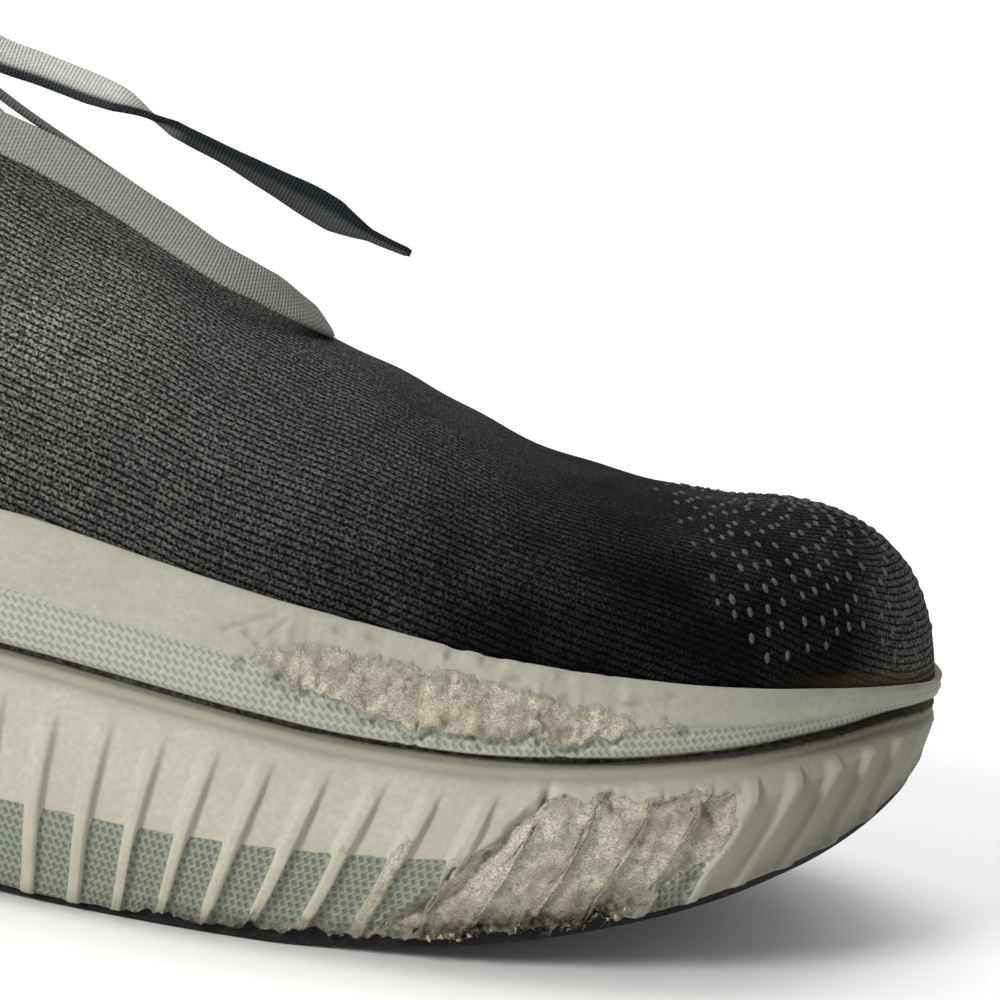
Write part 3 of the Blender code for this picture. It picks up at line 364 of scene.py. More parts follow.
def unit(vectors):
    return vectors / np.maximum(norm(vectors), 1e-12)[..., None]


def held(value):
    return np.clip(value, 0.0, 1.0)


def bell(value, width):
    """1 at 0, and almost nothing beyond twice the width."""
    return np.exp(-((value / width) ** 2))


def fade(value, low, high):
    """1 up to the low value and 0 from the high value on."""
    return 1 - step(value, low, high)


def closed_spline(loop, samples):
    """A closed curve through the loop's points, with centripetal spacing of its knots."""
    count = len(loop)
    out = []
    for i in range(count):
        p = [loop[(i + k - 1) % count] for k in range(4)]
        knots = [0.0]
        for a, b in zip(p, p[1:]):
            knots.append(knots[-1] + norm(b - a) ** 0.5)
        for t in np.linspace(knots[1], knots[2], samples, endpoint=False):
            a = [blend(p[k], p[k + 1], knots[k], knots[k + 1], t) for k in range(3)]
            b = [blend(a[k], a[k + 1], knots[k], knots[k + 2], t) for k in range(2)]
            out.append(blend(b[0], b[1], knots[1], knots[2], t))
    return np.array(out)


class Outline:
    """The sole's outline as two half curves from the toe tip to the heel, outer and inner."""

    def __init__(self):
        half = {"ball": BALL_WIDTH / 2, "waist": WAIST_WIDTH / 2, "heel": HEEL_WIDTH / 2}
        half |= {"tip": 0.0, "back": 0.0}
        sides = {}
        for side, column in ((-1, 1), (1, 2)):
            knots = []
            for row in OUTLINE:
                middle = TIP_ACROSS * max(0.0, (row[0] - 0.9) / 0.1)
                middle = BACK_ACROSS if row[3] == "back" else middle
                knots.append((along(row[0]), middle + side * half[row[3]] * row[column]))
            sides[side] = np.array(knots)
        loop = np.vstack([sides[-1][:-1], sides[1][::-1][:-1]])
        dense = closed_spline(loop, 60)
        dense -= (dense.max(0) + dense.min(0)) / 2
        dense *= np.array([SOLE_LENGTH, BALL_WIDTH]) / (dense.max(0) - dense.min(0))
        dense = np.roll(dense, -int(dense[:, 0].argmax()), 0)
        back = int(dense[:, 0].argmin())
        self.half = {-1: dense[: back + 1], 1: np.vstack([dense[back:], dense[:1]])[::-1]}
        self.inward = {}
        self.arc = {}
        for side, points in self.half.items():
            tangent = np.gradient(points, axis=0)
            tangent[0] = (0.0, side)
            tangent[-1] = (0.0, -side)
            tangent = unit(tangent)
            self.inward[side] = -side * np.stack([tangent[:, 1], -tangent[:, 0]], 1)
            self.arc[side] = np.concatenate([[0.0], norm(np.diff(points, axis=0)).cumsum()])

    def at(self, side, share, inset):
        """Points of the sides at their stations, moved inward by inset."""
        side, share, inset = np.broadcast_arrays(side, share, inset)
        out = np.empty((*side.shape, 2))
        for one in (-1, 1):
            here = side == one
            points = self.half[one]
            count = np.arange(len(points))
            x = along(held(share[here]))
            where = np.interp(-x, -points[:, 0], count)
            place, inward = (
                np.stack([np.interp(where, count, column) for column in values.T], -1)
                for values in (points, self.inward[one])
            )
            out[here] = place + unit(inward) * inset[here][..., None]
        return out

    def shares(self, steps):
        """Stations from the toe to the heel at distances along the outer side."""
        return station(np.interp(steps, self.arc[-1], self.half[-1][:, 0]))


sole = Outline()


def bezier(a, b, c, d, t):
    return a * (1 - t) ** 3 + 3 * b * t * (1 - t) ** 2 + 3 * c * t**2 * (1 - t) + d * t**3


def lattice(cells, seed):
    """A repeatable number from -1 to 1 for each whole-number cell."""
    mixed = cells[..., 0] * 374761393 + cells[..., 1] * 668265263 + cells[..., 2] * 1274126177
    mixed = (mixed + seed * 977001) & 0x7FFFFFFF
    mixed = ((mixed ^ (mixed >> 13)) * 1103515245 + 12345) & 0x7FFFFFFF
    mixed = ((mixed ^ (mixed >> 15)) * 69069 + 7) & 0x7FFFFFFF
    return mixed / 0x3FFFFFFF - 1.0


def noise(points, size, seed):
    """Smooth repeatable noise from -1 to 1, with lumps about as large as size."""
    scaled = np.asarray(points, dtype=float) / size
    cell = np.floor(scaled).astype(np.int64)
    part = scaled - cell
    part = part * part * (3 - 2 * part)
    total = 0.0
    for corner in itertools.product((0, 1), repeat=3):
        weight = np.prod(np.where(np.array(corner), part, 1 - part), axis=-1)
        total = total + weight * lattice(cell + np.array(corner), seed)
    return total


def rough(points, size, seed):
    """Noise of three sizes laid over each other."""
    big = noise(points, size, seed)
    middle = noise(points, size * 0.47, seed + 1)
    small = noise(points, size * 0.23, seed + 2)
    return (big + 0.5 * middle + 0.25 * small) / 1.75


def line_distance(flat, line):
    """Distance of flat points from a line of straight runs."""
    best = np.full(flat.shape[:-1], 1e9)
    for a, b in zip(np.array(line), np.array(line)[1:]):
        way = b - a
        t = held(((flat - a) @ way) / (way @ way))
        best = np.minimum(best, norm(flat - a - t[..., None] * way))
    return best


def depth_in(flat, corners):
    """How far flat points lie inside a closed outline. It is below 0 outside."""
    closed = np.array([*corners, corners[0]])
    x, z = flat[..., 0], flat[..., 1]
    inside = np.zeros(x.shape, dtype=bool)
    for (ax, az), (bx, bz) in zip(closed, closed[1:]):
        crosses = (az > z) != (bz > z)
        run = np.where(bz == az, 1.0, bz - az)
        inside ^= crosses & (x < (bx - ax) * (z - az) / run + ax)
    return np.where(inside, 1.0, -1.0) * line_distance(flat, closed)


def step(value, low, high):
    t = held((value - low) / (high - low))
    return t * t * (3 - 2 * t)


def loft(rings, counts):
    """More rings on a smooth surface through the rings given. Counts are the parts of each gap."""
    rings = np.array(rings)
    padded = np.concatenate([[2 * rings[0] - rings[1]], rings, [2 * rings[-1] - rings[-2]]])
    out = []
    for k, count in enumerate(counts):
        a, b, c, d = padded[k : k + 4]
        near = norm(c - b)[..., None]
        in_slope = catmull_slope(a, b, c, near)
        out_slope = catmull_slope(b, c, d, near)
        for t in np.arange(count) / count:
            out.append(hermite(t, b, c, in_slope, out_slope))
    out.append(rings[-1])
    return np.array(out)


def catmull_slope(before, here, after, span):
    """The slope at a point of a curve whose points have uneven gaps, for a gap of that span."""
    first = np.maximum(norm(here - before), 1e-9)[..., None]
    second = np.maximum(norm(after - here), 1e-9)[..., None]
    slope = ((here - before) / first * second + (after - here) / second * first) / (first + second)
    return slope * span


def grid_normals(points, closed):
    """Unit normals of a grid of points, outward for rings that go up the outside."""
    if closed:
        side = np.roll(points, -1, 1) - np.roll(points, 1, 1)
    else:
        side = np.gradient(points, axis=1)
    return unit(np.cross(np.gradient(points, axis=0), side))


def distances(points, axis):
    """Running length of a grid's lines along one axis."""
    steps = norm(np.diff(points, axis=axis))
    zero = np.zeros_like(np.take(steps, [0], axis=axis))
    return np.concatenate([zero, steps.cumsum(axis=axis)], axis=axis)


def swept(line, one, along_one, two, along_two):
    """Rings around a line, from each ring point's distances along two directions."""
    return line[:, None] + one[:, None] * along_one[..., None] + two[:, None] * along_two[..., None]


def grid_mesh(name, points, uv=None, fields=(), closed=True, caps=False):
    """A mesh of four-sided faces over a grid. Fields are numbers for each point that shaders read."""
    rows, columns = points.shape[:2]
    number = np.arange(rows * columns).reshape(rows, columns)
    ahead = np.roll(number, -1, 1) if closed else number[:, 1:]
    here = number if closed else number[:, :-1]
    quads = np.stack([ahead[:-1], here[:-1], here[1:], ahead[1:]], -1).reshape(-1, 4)
    mesh = bpy.data.meshes.new(name)
    faces = quads.tolist()
    if caps:
        faces.append(number[0].tolist())
        faces.append(number[-1][::-1].tolist())
    mesh.from_pydata(points.reshape(-1, 3).tolist(), [], faces)
    if uv is not None:
        flat = uv.reshape(-1, 2)
        corners = np.zeros((len(mesh.loops), 2))
        corners[: quads.size] = flat[quads.ravel()]
        mesh.uv_layers.new(name="metres").data.foreach_set("uv", corners.ravel())
    for field, values in dict(fields).items():
        layer = mesh.attributes.new(field, "FLOAT", "POINT")
        layer.data.foreach_set("value", np.broadcast_to(values, (rows, columns)).astype(float).ravel())
    mesh.shade_smooth()
    return mesh


def mend(mesh, last=0, gap=0.0, outward=True):
    """Joins those of the mesh's last points that are closer than gap, and turns its faces outward."""
    bm = bmesh.new()
    bm.from_mesh(mesh)
    if last:
        bmesh.ops.remove_doubles(bm, verts=list(bm.verts)[-last:], dist=gap)
    if outward:
        bmesh.ops.recalc_face_normals(bm, faces=bm.faces)
    bm.to_mesh(mesh)
    bm.free()


def placed(name, data):
    made = bpy.data.objects.new(name, data)
    bpy.context.scene.collection.objects.link(made)
    return made


def plain_mesh(name, points, faces):
    mesh = bpy.data.meshes.new(name)
    mesh.from_pydata([tuple(p) for p in points], [], faces)
    mesh.shade_smooth()
    return mesh


def piece(name, mesh, finish, slot, *nodes):
    """An object of a mesh that rides on the shoe and stands for the nodes named."""
    made = placed(name, mesh)
    made.data.materials.append(finish)
    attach(made, "root")
    if nodes:
        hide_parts(*nodes)
    return made


class Finish:
    """One material with a Principled shader, and short ways to add nodes that feed it."""

    def __init__(self, name, roughness, specular=0.25, sheen=0.0):
        self.material = bpy.data.materials.new(name)
        self.material.use_nodes = True
        self.tree = self.material.node_tree
        self.shader = self.tree.nodes["Principled BSDF"]
        looks = {"Roughness": roughness, "Specular IOR Level": specular, "Sheen Weight": sheen}
        for key, value in looks.items():
            self.shader.inputs[key].default_value = value

    def add(self, kind, inputs, **settings):
        node = self.tree.nodes.new(kind)
        for key, value in settings.items():
            setattr(node, key, value)
        for key, value in inputs.items():
            self.feed(node.inputs[key], value)
        return node

    def feed(self, socket, value):
        if isinstance(value, bpy.types.NodeSocket):
            self.tree.links.new(value, socket)
        else:
            socket.default_value = value

    def math(self, operation, a, b=0.0):
        return self.add("ShaderNodeMath", {0: a, 1: b}, operation=operation).outputs[0]

    def times(self, a, b):
        return self.math("MULTIPLY", a, b)

    def plus(self, *parts):
        total = parts[0]
        for part in parts[1:]:
            total = self.math("ADD", total, part)
        return total

    def swing(self, value, size):
        """A value around one half made into one around 0."""
        return self.times(self.math("SUBTRACT", value, 0.5), size)

    def field(self, name):
        return self.add("ShaderNodeAttribute", {}, attribute_name=name).outputs["Fac"]

    def step(self, value, low, high, first=0.0, last=1.0):
        limits = {"Value": value, "From Min": low, "From Max": high, "To Min": first, "To Max": last}
        return self.add("ShaderNodeMapRange", limits, interpolation_type="SMOOTHSTEP").outputs["Result"]

    def mix(self, amount, a, b):
        return self.add("ShaderNodeMix", {0: amount, 6: a, 7: b}, data_type="RGBA").outputs[2]

    def between(self, amount, a, b):
        return self.add("ShaderNodeMix", {0: amount, 2: a, 3: b}).outputs[0]

    def lumps(self, size, detail=3.0, stretch=None, roughness=0.55):
        place = self.add("ShaderNodeTexCoord", {}).outputs["Object"]
        if stretch:
            place = self.add("ShaderNodeMapping", {"Vector": place, "Scale": stretch}).outputs[0]
        inputs = {"Vector": place, "Scale": 1 / size, "Detail": detail, "Roughness": roughness}
        return self.add("ShaderNodeTexNoise", inputs).outputs["Fac"]

    def uv(self):
        place = self.add("ShaderNodeUVMap", {}, uv_map="metres").outputs[0]
        split = self.add("ShaderNodeSeparateXYZ", {0: place})
        return split.outputs[0], split.outputs[1]

    def wave(self, distance, pitch):
        """A wave from -1 to 1 that repeats at each pitch."""
        return self.math("SINE", self.times(distance, 2 * math.pi / pitch))

    def finish(self, colour, relief=None, depth=0.0003):
        self.feed(self.shader.inputs["Base Color"], colour)
        if relief is not None:
            bump = self.add("ShaderNodeBump", {"Height": relief, "Distance": depth, "Strength": 1.0})
            self.feed(self.shader.inputs["Normal"], bump.outputs[0])
        return self.material


def linear(red, green, blue):
    """A shader colour from the 0 to 255 numbers that a picture shows."""
    found = []
    for part in (red, green, blue):
        part /= 255
        found.append(part / 12.92 if part <= 0.04045 else ((part + 0.055) / 1.055) ** 2.4)
    return (*found, 1.0)


def shaded(colour, share=1.0):
    """A picture's colour, made darker or paler by the share."""
    return linear(*(min(part * share, 255) for part in colour))


def zigzag(f, lean):
    """Relief of the foam's pressed zigzag, from 0 to 1."""
    u, v = f.uv()
    turn = f.math("PINGPONG", f.math("DIVIDE", v, ZIGZAG_ROW), 0.5)
    shift = f.plus(f.times(turn, ZIGZAG_PITCH * 1.1), f.times(v, lean))
    ridges = f.wave(f.plus(u, shift), ZIGZAG_PITCH)
    breaks = f.wave(v, ZIGZAG_ROW)
    wobble = f.swing(f.lumps(0.0012, 2.0), 1.5)
    return f.step(f.plus(ridges, f.times(breaks, 0.8), wobble), -1.35, 0.35)


def foam_finish(name, plain, textured, worn, tan, lean, pit_depth_and_shade):
    """Foam with a smooth zone, a zigzag zone and a torn, fibrous zone, as its fields say."""
    f = Finish(name, 0.78)
    zone = f.step(f.field("zone"), -0.00015, 0.00015)
    ragged = f.swing(f.lumps(0.002, 5.0, None, 0.7), 1.3)
    torn = f.step(f.plus(f.field("torn"), ragged), 0.25, 0.75)
    grain = f.lumps(0.0011, 3.0)
    fine = f.lumps(0.00042, 5.0, (1.0, 1.0, 2.0), 0.7)
    pore = f.lumps(0.0016, 4.0, None, 0.65)
    patch = f.lumps(0.0042, 3.0)
    cloud = f.lumps(0.01, 4.0)
    pattern = zigzag(f, lean)
    # Painted shade: the zigzag's pits are coloured darker as well as pressed in, by the pit depth.
    zigs = f.mix(pattern, shaded(textured, 1.03 - pit_depth_and_shade), shaded(textured, 1.03))
    flat = f.mix(f.step(grain, 0.3, 0.75), shaded(plain, 0.96), shaded(plain, 1.03))
    flat = f.mix(f.step(cloud, 0.4, 0.75, 0.0, 0.6), flat, shaded(plain, 0.93))
    colour = f.mix(zone, flat, zigs)
    hair = f.mix(f.step(fine, 0.38, 0.62), shaded(worn, 0.77), shaded(worn, 1.1))
    hair = f.mix(f.step(cloud, 0.42, 0.72, 0.0, 0.55), hair, shaded(tan))
    # Painted shade: the pores of the torn foam are coloured dark.
    hair = f.mix(f.step(pore, 0.44, 0.28, 0.0, 0.75), hair, shaded(worn, 0.48))
    hair = f.mix(f.step(patch, 0.4, 0.62, 0.0, 0.55), hair, shaded(worn, 0.6))
    colour = f.mix(torn, colour, hair)
    # The foam's dirt and painted shade, from its field, darken it towards brown.
    dirt_and_shade = f.times(f.field("dirt_and_shade"), f.step(grain, 0.2, 0.7, 0.6, 1.0))
    colour = f.mix(dirt_and_shade, colour, shaded(DIRT_AND_SHADE_DARK))
    calm = f.times(grain, 0.05)
    pressed = f.plus(f.times(pattern, pit_depth_and_shade * 3.0), calm)
    relief = f.between(zone, calm, pressed)
    hairy = f.plus(f.times(fine, 1.5), f.times(pore, 2.0))
    relief = f.between(torn, relief, hairy)
    return f.finish(colour, relief, FOAM_RELIEF)


def knit_finish(name, light, dark, fleck, faint):
    """Ribbed knit: dark furrows that run along the crest between rows of heathered yarn."""
    f = Finish(name, 0.95, 0.03)
    u, v = f.uv()
    rib = f.wave(v, KNIT_ROW)
    row = f.math("FLOOR", f.math("DIVIDE", v, KNIT_ROW / 2))
    shifted = f.plus(u, f.times(row, KNIT_STITCH * 0.5))
    stitch = f.wave(shifted, KNIT_STITCH)
    yarn = f.lumps(0.00052, 4.0, None, 0.75)
    cloud = f.lumps(0.02, 3.0)
    # The knit's paler share holds its own fuzz and painted light.
    wear_and_light = f.field("fuzz_and_light")
    low = f.mix(wear_and_light, shaded(dark), shaded(light))
    high = f.mix(wear_and_light, shaded(faint), shaded(fleck))
    heather = f.times(f.step(yarn, 0.43, 0.62), f.step(cloud, 0.3, 0.7, 0.7, 1.0))
    colour = f.mix(heather, low, high)
    # Painted shade: the furrows between the rows take a darker colour than the lit yarn.
    deep = f.mix(wear_and_light, shaded(dark, 0.4), shaded(light, 0.38))
    furrow = f.plus(rib, f.times(stitch, 0.22), f.swing(yarn, 1.6))
    lit = f.step(furrow, -1.05, -0.05)
    colour = f.mix(lit, deep, colour)
    colour = f.mix(f.field("dirt_and_shade"), colour, linear(*DUST_COLOUR))
    relief = f.plus(f.times(rib, 0.45), f.times(stitch, 0.28), f.times(yarn, 0.8))
    return f.finish(colour, relief, KNIT_RELIEF)


def lace_finish():
    f = Finish("woven_lace", 0.95, 0.05)
    u, v = f.uv()
    across = f.wave(u, LACE_WEAVE)
    slant = f.wave(f.plus(v, f.times(u, 0.6)), LACE_WEAVE * 1.3)
    weave = f.plus(f.times(across, 0.6), f.times(slant, 0.4))
    yarn = f.lumps(0.0007, 3.0)
    clean = f.mix(f.step(yarn, 0.3, 0.7), linear(176, 177, 172), linear(198, 198, 192))
    clean = f.mix(f.step(weave, -0.9, 0.4), linear(164, 166, 161), clean)
    # The dark lace colour stands for grime and for painted shade, by the lace's darkness field.
    dark_grime_and_shade = f.mix(f.step(weave, -0.9, 0.4), linear(20, 24, 26), linear(38, 43, 45))
    colour = f.mix(f.field("grime_and_shade"), clean, dark_grime_and_shade)
    return f.finish(colour, f.plus(weave, f.times(yarn, 0.6)), 0.0001)


def cloth_finish(name, light, dark, pitch):
    """Plain woven lining."""
    f = Finish(name, 0.92, sheen=0.1)
    u, v = f.uv()
    weave = f.times(f.wave(u, pitch), f.wave(v, pitch))
    cloud = f.lumps(0.014, 4.0)
    colour = f.mix(f.step(weave, -0.6, 0.6), shaded(dark), shaded(light))
    colour = f.mix(f.step(cloud, 0.5, 0.7, 0.0, 0.35), colour, shaded(light, 1.5))
    return f.finish(colour, weave, 0.0002)


def rubber_finish():
    f = Finish("scuffed_rubber", 0.62)
    scuff = f.lumps(0.0016, 5.0, (0.35, 1.0, 1.0), 0.7)
    grain = f.lumps(0.0005, 2.0)
    colour = f.mix(f.step(scuff, 0.55, 0.78), linear(15, 15, 16), linear(58, 55, 49))
    return f.finish(colour, f.plus(grain, scuff), 0.00025)


def ring_places(shares):
    """Sides and stations of a ring from the toe tip, down the outer side and back up the inner."""
    side = np.concatenate([np.full(len(shares), -1), np.full(len(shares) - 2, 1)])
    return side, np.concatenate([shares, shares[1:-1][::-1]])


def columns_by_step(fine, coarse, seen=-0.03):
    """Stations of columns: at a fine step ahead of the seen x, and at a coarse step behind it."""
    arc = sole.arc[-1]
    turn = float(np.interp(-seen, -sole.half[-1][:, 0], arc))
    front = np.linspace(0.0, turn, max(2, round(turn / fine)), endpoint=False)
    back = np.linspace(turn, arc[-1], max(2, round((arc[-1] - turn) / coarse)))
    return sole.shares(np.concatenate([front, back]))


def ring_arc(side, share):
    """Distance from the toe tip along each side, for the pattern's place."""
    out = np.empty(share.shape)
    for one in (-1, 1):
        here = side == one
        points = sole.half[one]
        out[here] = np.interp(-along(share[here]), -points[:, 0], sole.arc[one])
    return out


def between(a, b, t):
    return a + (b - a) * t


def rim_inset(share):
    return RIM_WIDTH * smooth(RIM_INSET, share)


def under_toe(share):
    return TOE_TUCK * smooth(UNDER_TOE, share)


def foot_inset(share):
    return TUCK_INSET * smooth(RIDGE_SHARE, share) + 1.5 * under_toe(share)


def sole_ring(side, share, inset, line, lift=0.0):
    flat = sole.at(side, share, inset)
    return np.concatenate([flat, (line(flat[..., 0]) + lift)[..., None]], -1)


def rim_foam(finish):
    """The upper foam, with its ridge worn down and scraped on the outer side of the forefoot."""
    side, share = ring_places(columns_by_step(0.00045, 0.0011))
    thin = smooth(RIDGE_SHARE, share)
    x = sole.at(side, share, 0.0)[..., 0]
    place = np.stack([x, side * 0.1, np.zeros_like(x)], -1)
    jag = rough(place, 0.0046, 3) + noise(place, 0.0017, 9) * 0.55 + noise(place, 0.0008, 12) * 0.25
    drop = np.where(side < 0, np.interp(x, *RIDGE_WEAR.T), 0.0)
    drop = np.maximum(drop + step(drop, 0.0, 0.003) * 0.0021 * jag, 0.0)
    unworn = ridge_z(x)
    groove = groove_z(x) + CLEAR
    part = drop / np.maximum(unworn - groove, 0.001)
    nose_inset = (RIDGE_INSET + (GROOVE_INSET - RIDGE_INSET) * part) * thin

    ring = functools.partial(sole_ring, side, share)
    inset = rim_inset(share)
    lift = CLEAR + SLOT_HEIGHT
    foot = ring(GROOVE_INSET * thin, groove_z, lift)
    inner = ring(GROOVE_INSET * thin + SLOT_DEPTH, groove_z, lift)
    deep = inner - (0.0, 0.0, SLOT_HEIGHT)
    ridge = ring(nose_inset, ridge_z)
    ridge[:, 2] -= drop
    top = ring(inset - CREST_WIDTH, rim_top_z)
    lip = ring(inset, rim_top_z, -CREST_WIDTH / 4)
    floor = ring(inset + CUP_TAPER, footbed_z)
    edge = np.minimum(0.0011 / norm(ridge - foot), 0.3)[:, None]
    low = between(ridge, foot, edge)
    low[:, 2] += 0.0001
    far = np.minimum(0.0013 / norm(top - ridge), 0.3)[:, None]
    high = between(ridge, top, far)
    middle = between(ridge, top, 0.5)
    middle[:, 2] -= 0.00035 * fade(drop, 0.0, 0.002)
    shoulder = between(ridge, top, 0.86)
    shoulder[:, 2] += 0.0003
    rings = loft(
        [deep, inner, foot, low, ridge, high, middle, shoulder, top, lip, floor],
        [1, 2, 16, 4, 4, 10, 9, 4, 2, 6],
    )
    ridge_row = 23
    normals = grid_normals(rings, True)
    flat = rings[..., [0, 2]]
    outer = np.broadcast_to(side < 0, rings.shape[:2])
    scraped = np.where(outer, depth_in(flat, SCRAPED_RIM), -1.0)
    ragged = scraped + rough(rings, 0.0034, 21) * 0.0016
    down = distances(rings, 0)
    down = down - down[ridge_row]
    above_edge = down + noise(rings, 0.0011, 26) * 0.00022
    torn = step(ragged, -0.0014, 0.0042) * step(above_edge, -0.0003, 0.0001)
    lumps = rough(rings, 0.0021, 5) * 0.0006 + noise(rings, 0.0009, 8) * 0.00028
    pits = step(noise(rings, 0.0019, 14), 0.35, 0.8) * 0.0005
    near = step(scraped, -0.0055, 0.0) * (1 - torn)
    worn_here = step(np.broadcast_to(drop, down.shape), 0.0008, 0.003)
    frayed = bell(down - 0.0006, 0.0009) * worn_here
    tucked = bell(down + 0.0009, 0.0007) * worn_here
    move = step(torn, 0.3, 1.0) * lumps - near * pits
    move = move + frayed * 0.00105 * (0.7 + rough(rings, 0.0022, 33)) - tucked * 0.00085
    for depth, width, line in CREASES:
        away = np.where(outer, line_distance(flat, line), 1.0)
        move = move - depth * bell(away, width) ** 2.2
    move = move + noise(rings, 0.011, 2) * 0.00012
    rings = rings + normals * move[..., None]
    u = np.broadcast_to(ring_arc(side, share), down.shape)
    zone = np.where(down < 0, -down - 0.0002, -0.001) + noise(rings, 0.0012, 6) * 0.00012
    bite = step(rings[..., 2] - top[None, :, 2], -0.0016, 0.0002)
    toe = step(rings[..., 0], 0.1, 0.15)
    dirt_and_shade = bite * (0.15 + 0.6 * toe) * (0.6 + 0.4 * noise(rings, 0.006, 31))
    # Painted shade: the band just above the groove, the rows inside the slot and the dents by the scrape are
    # darkened; the rest is dirt along the bite line.
    low_band = step(groove[None] + SLOT_HEIGHT + 0.0004 - rings[..., 2], 0.0, 0.0005)
    dirt_and_shade = held(dirt_and_shade + 0.85 * low_band + near * pits * 700)
    dirt_and_shade[:3] = 1.0
    fields = {"zone": zone, "torn": torn, "dirt_and_shade": dirt_and_shade}
    mesh = grid_mesh("rim_foam", rings, np.stack([u, down - down[3]], -1), fields)
    piece("rim_foam", mesh, finish, "rim_foam", "midsole_rim")
    return rings, torn


def rib_crests():
    """Distances of the side ribs from the toe tip along the outer side."""
    arc = sole.arc[-1]
    first = np.interp(-RIB_START, -sole.half[-1][:, 0], arc)
    crests = first + np.arange(-60, 60) * RIB_PITCH
    margin = RIB_PITCH * 0.45
    return crests[(crests > margin) & (crests < arc[-1] - margin)]


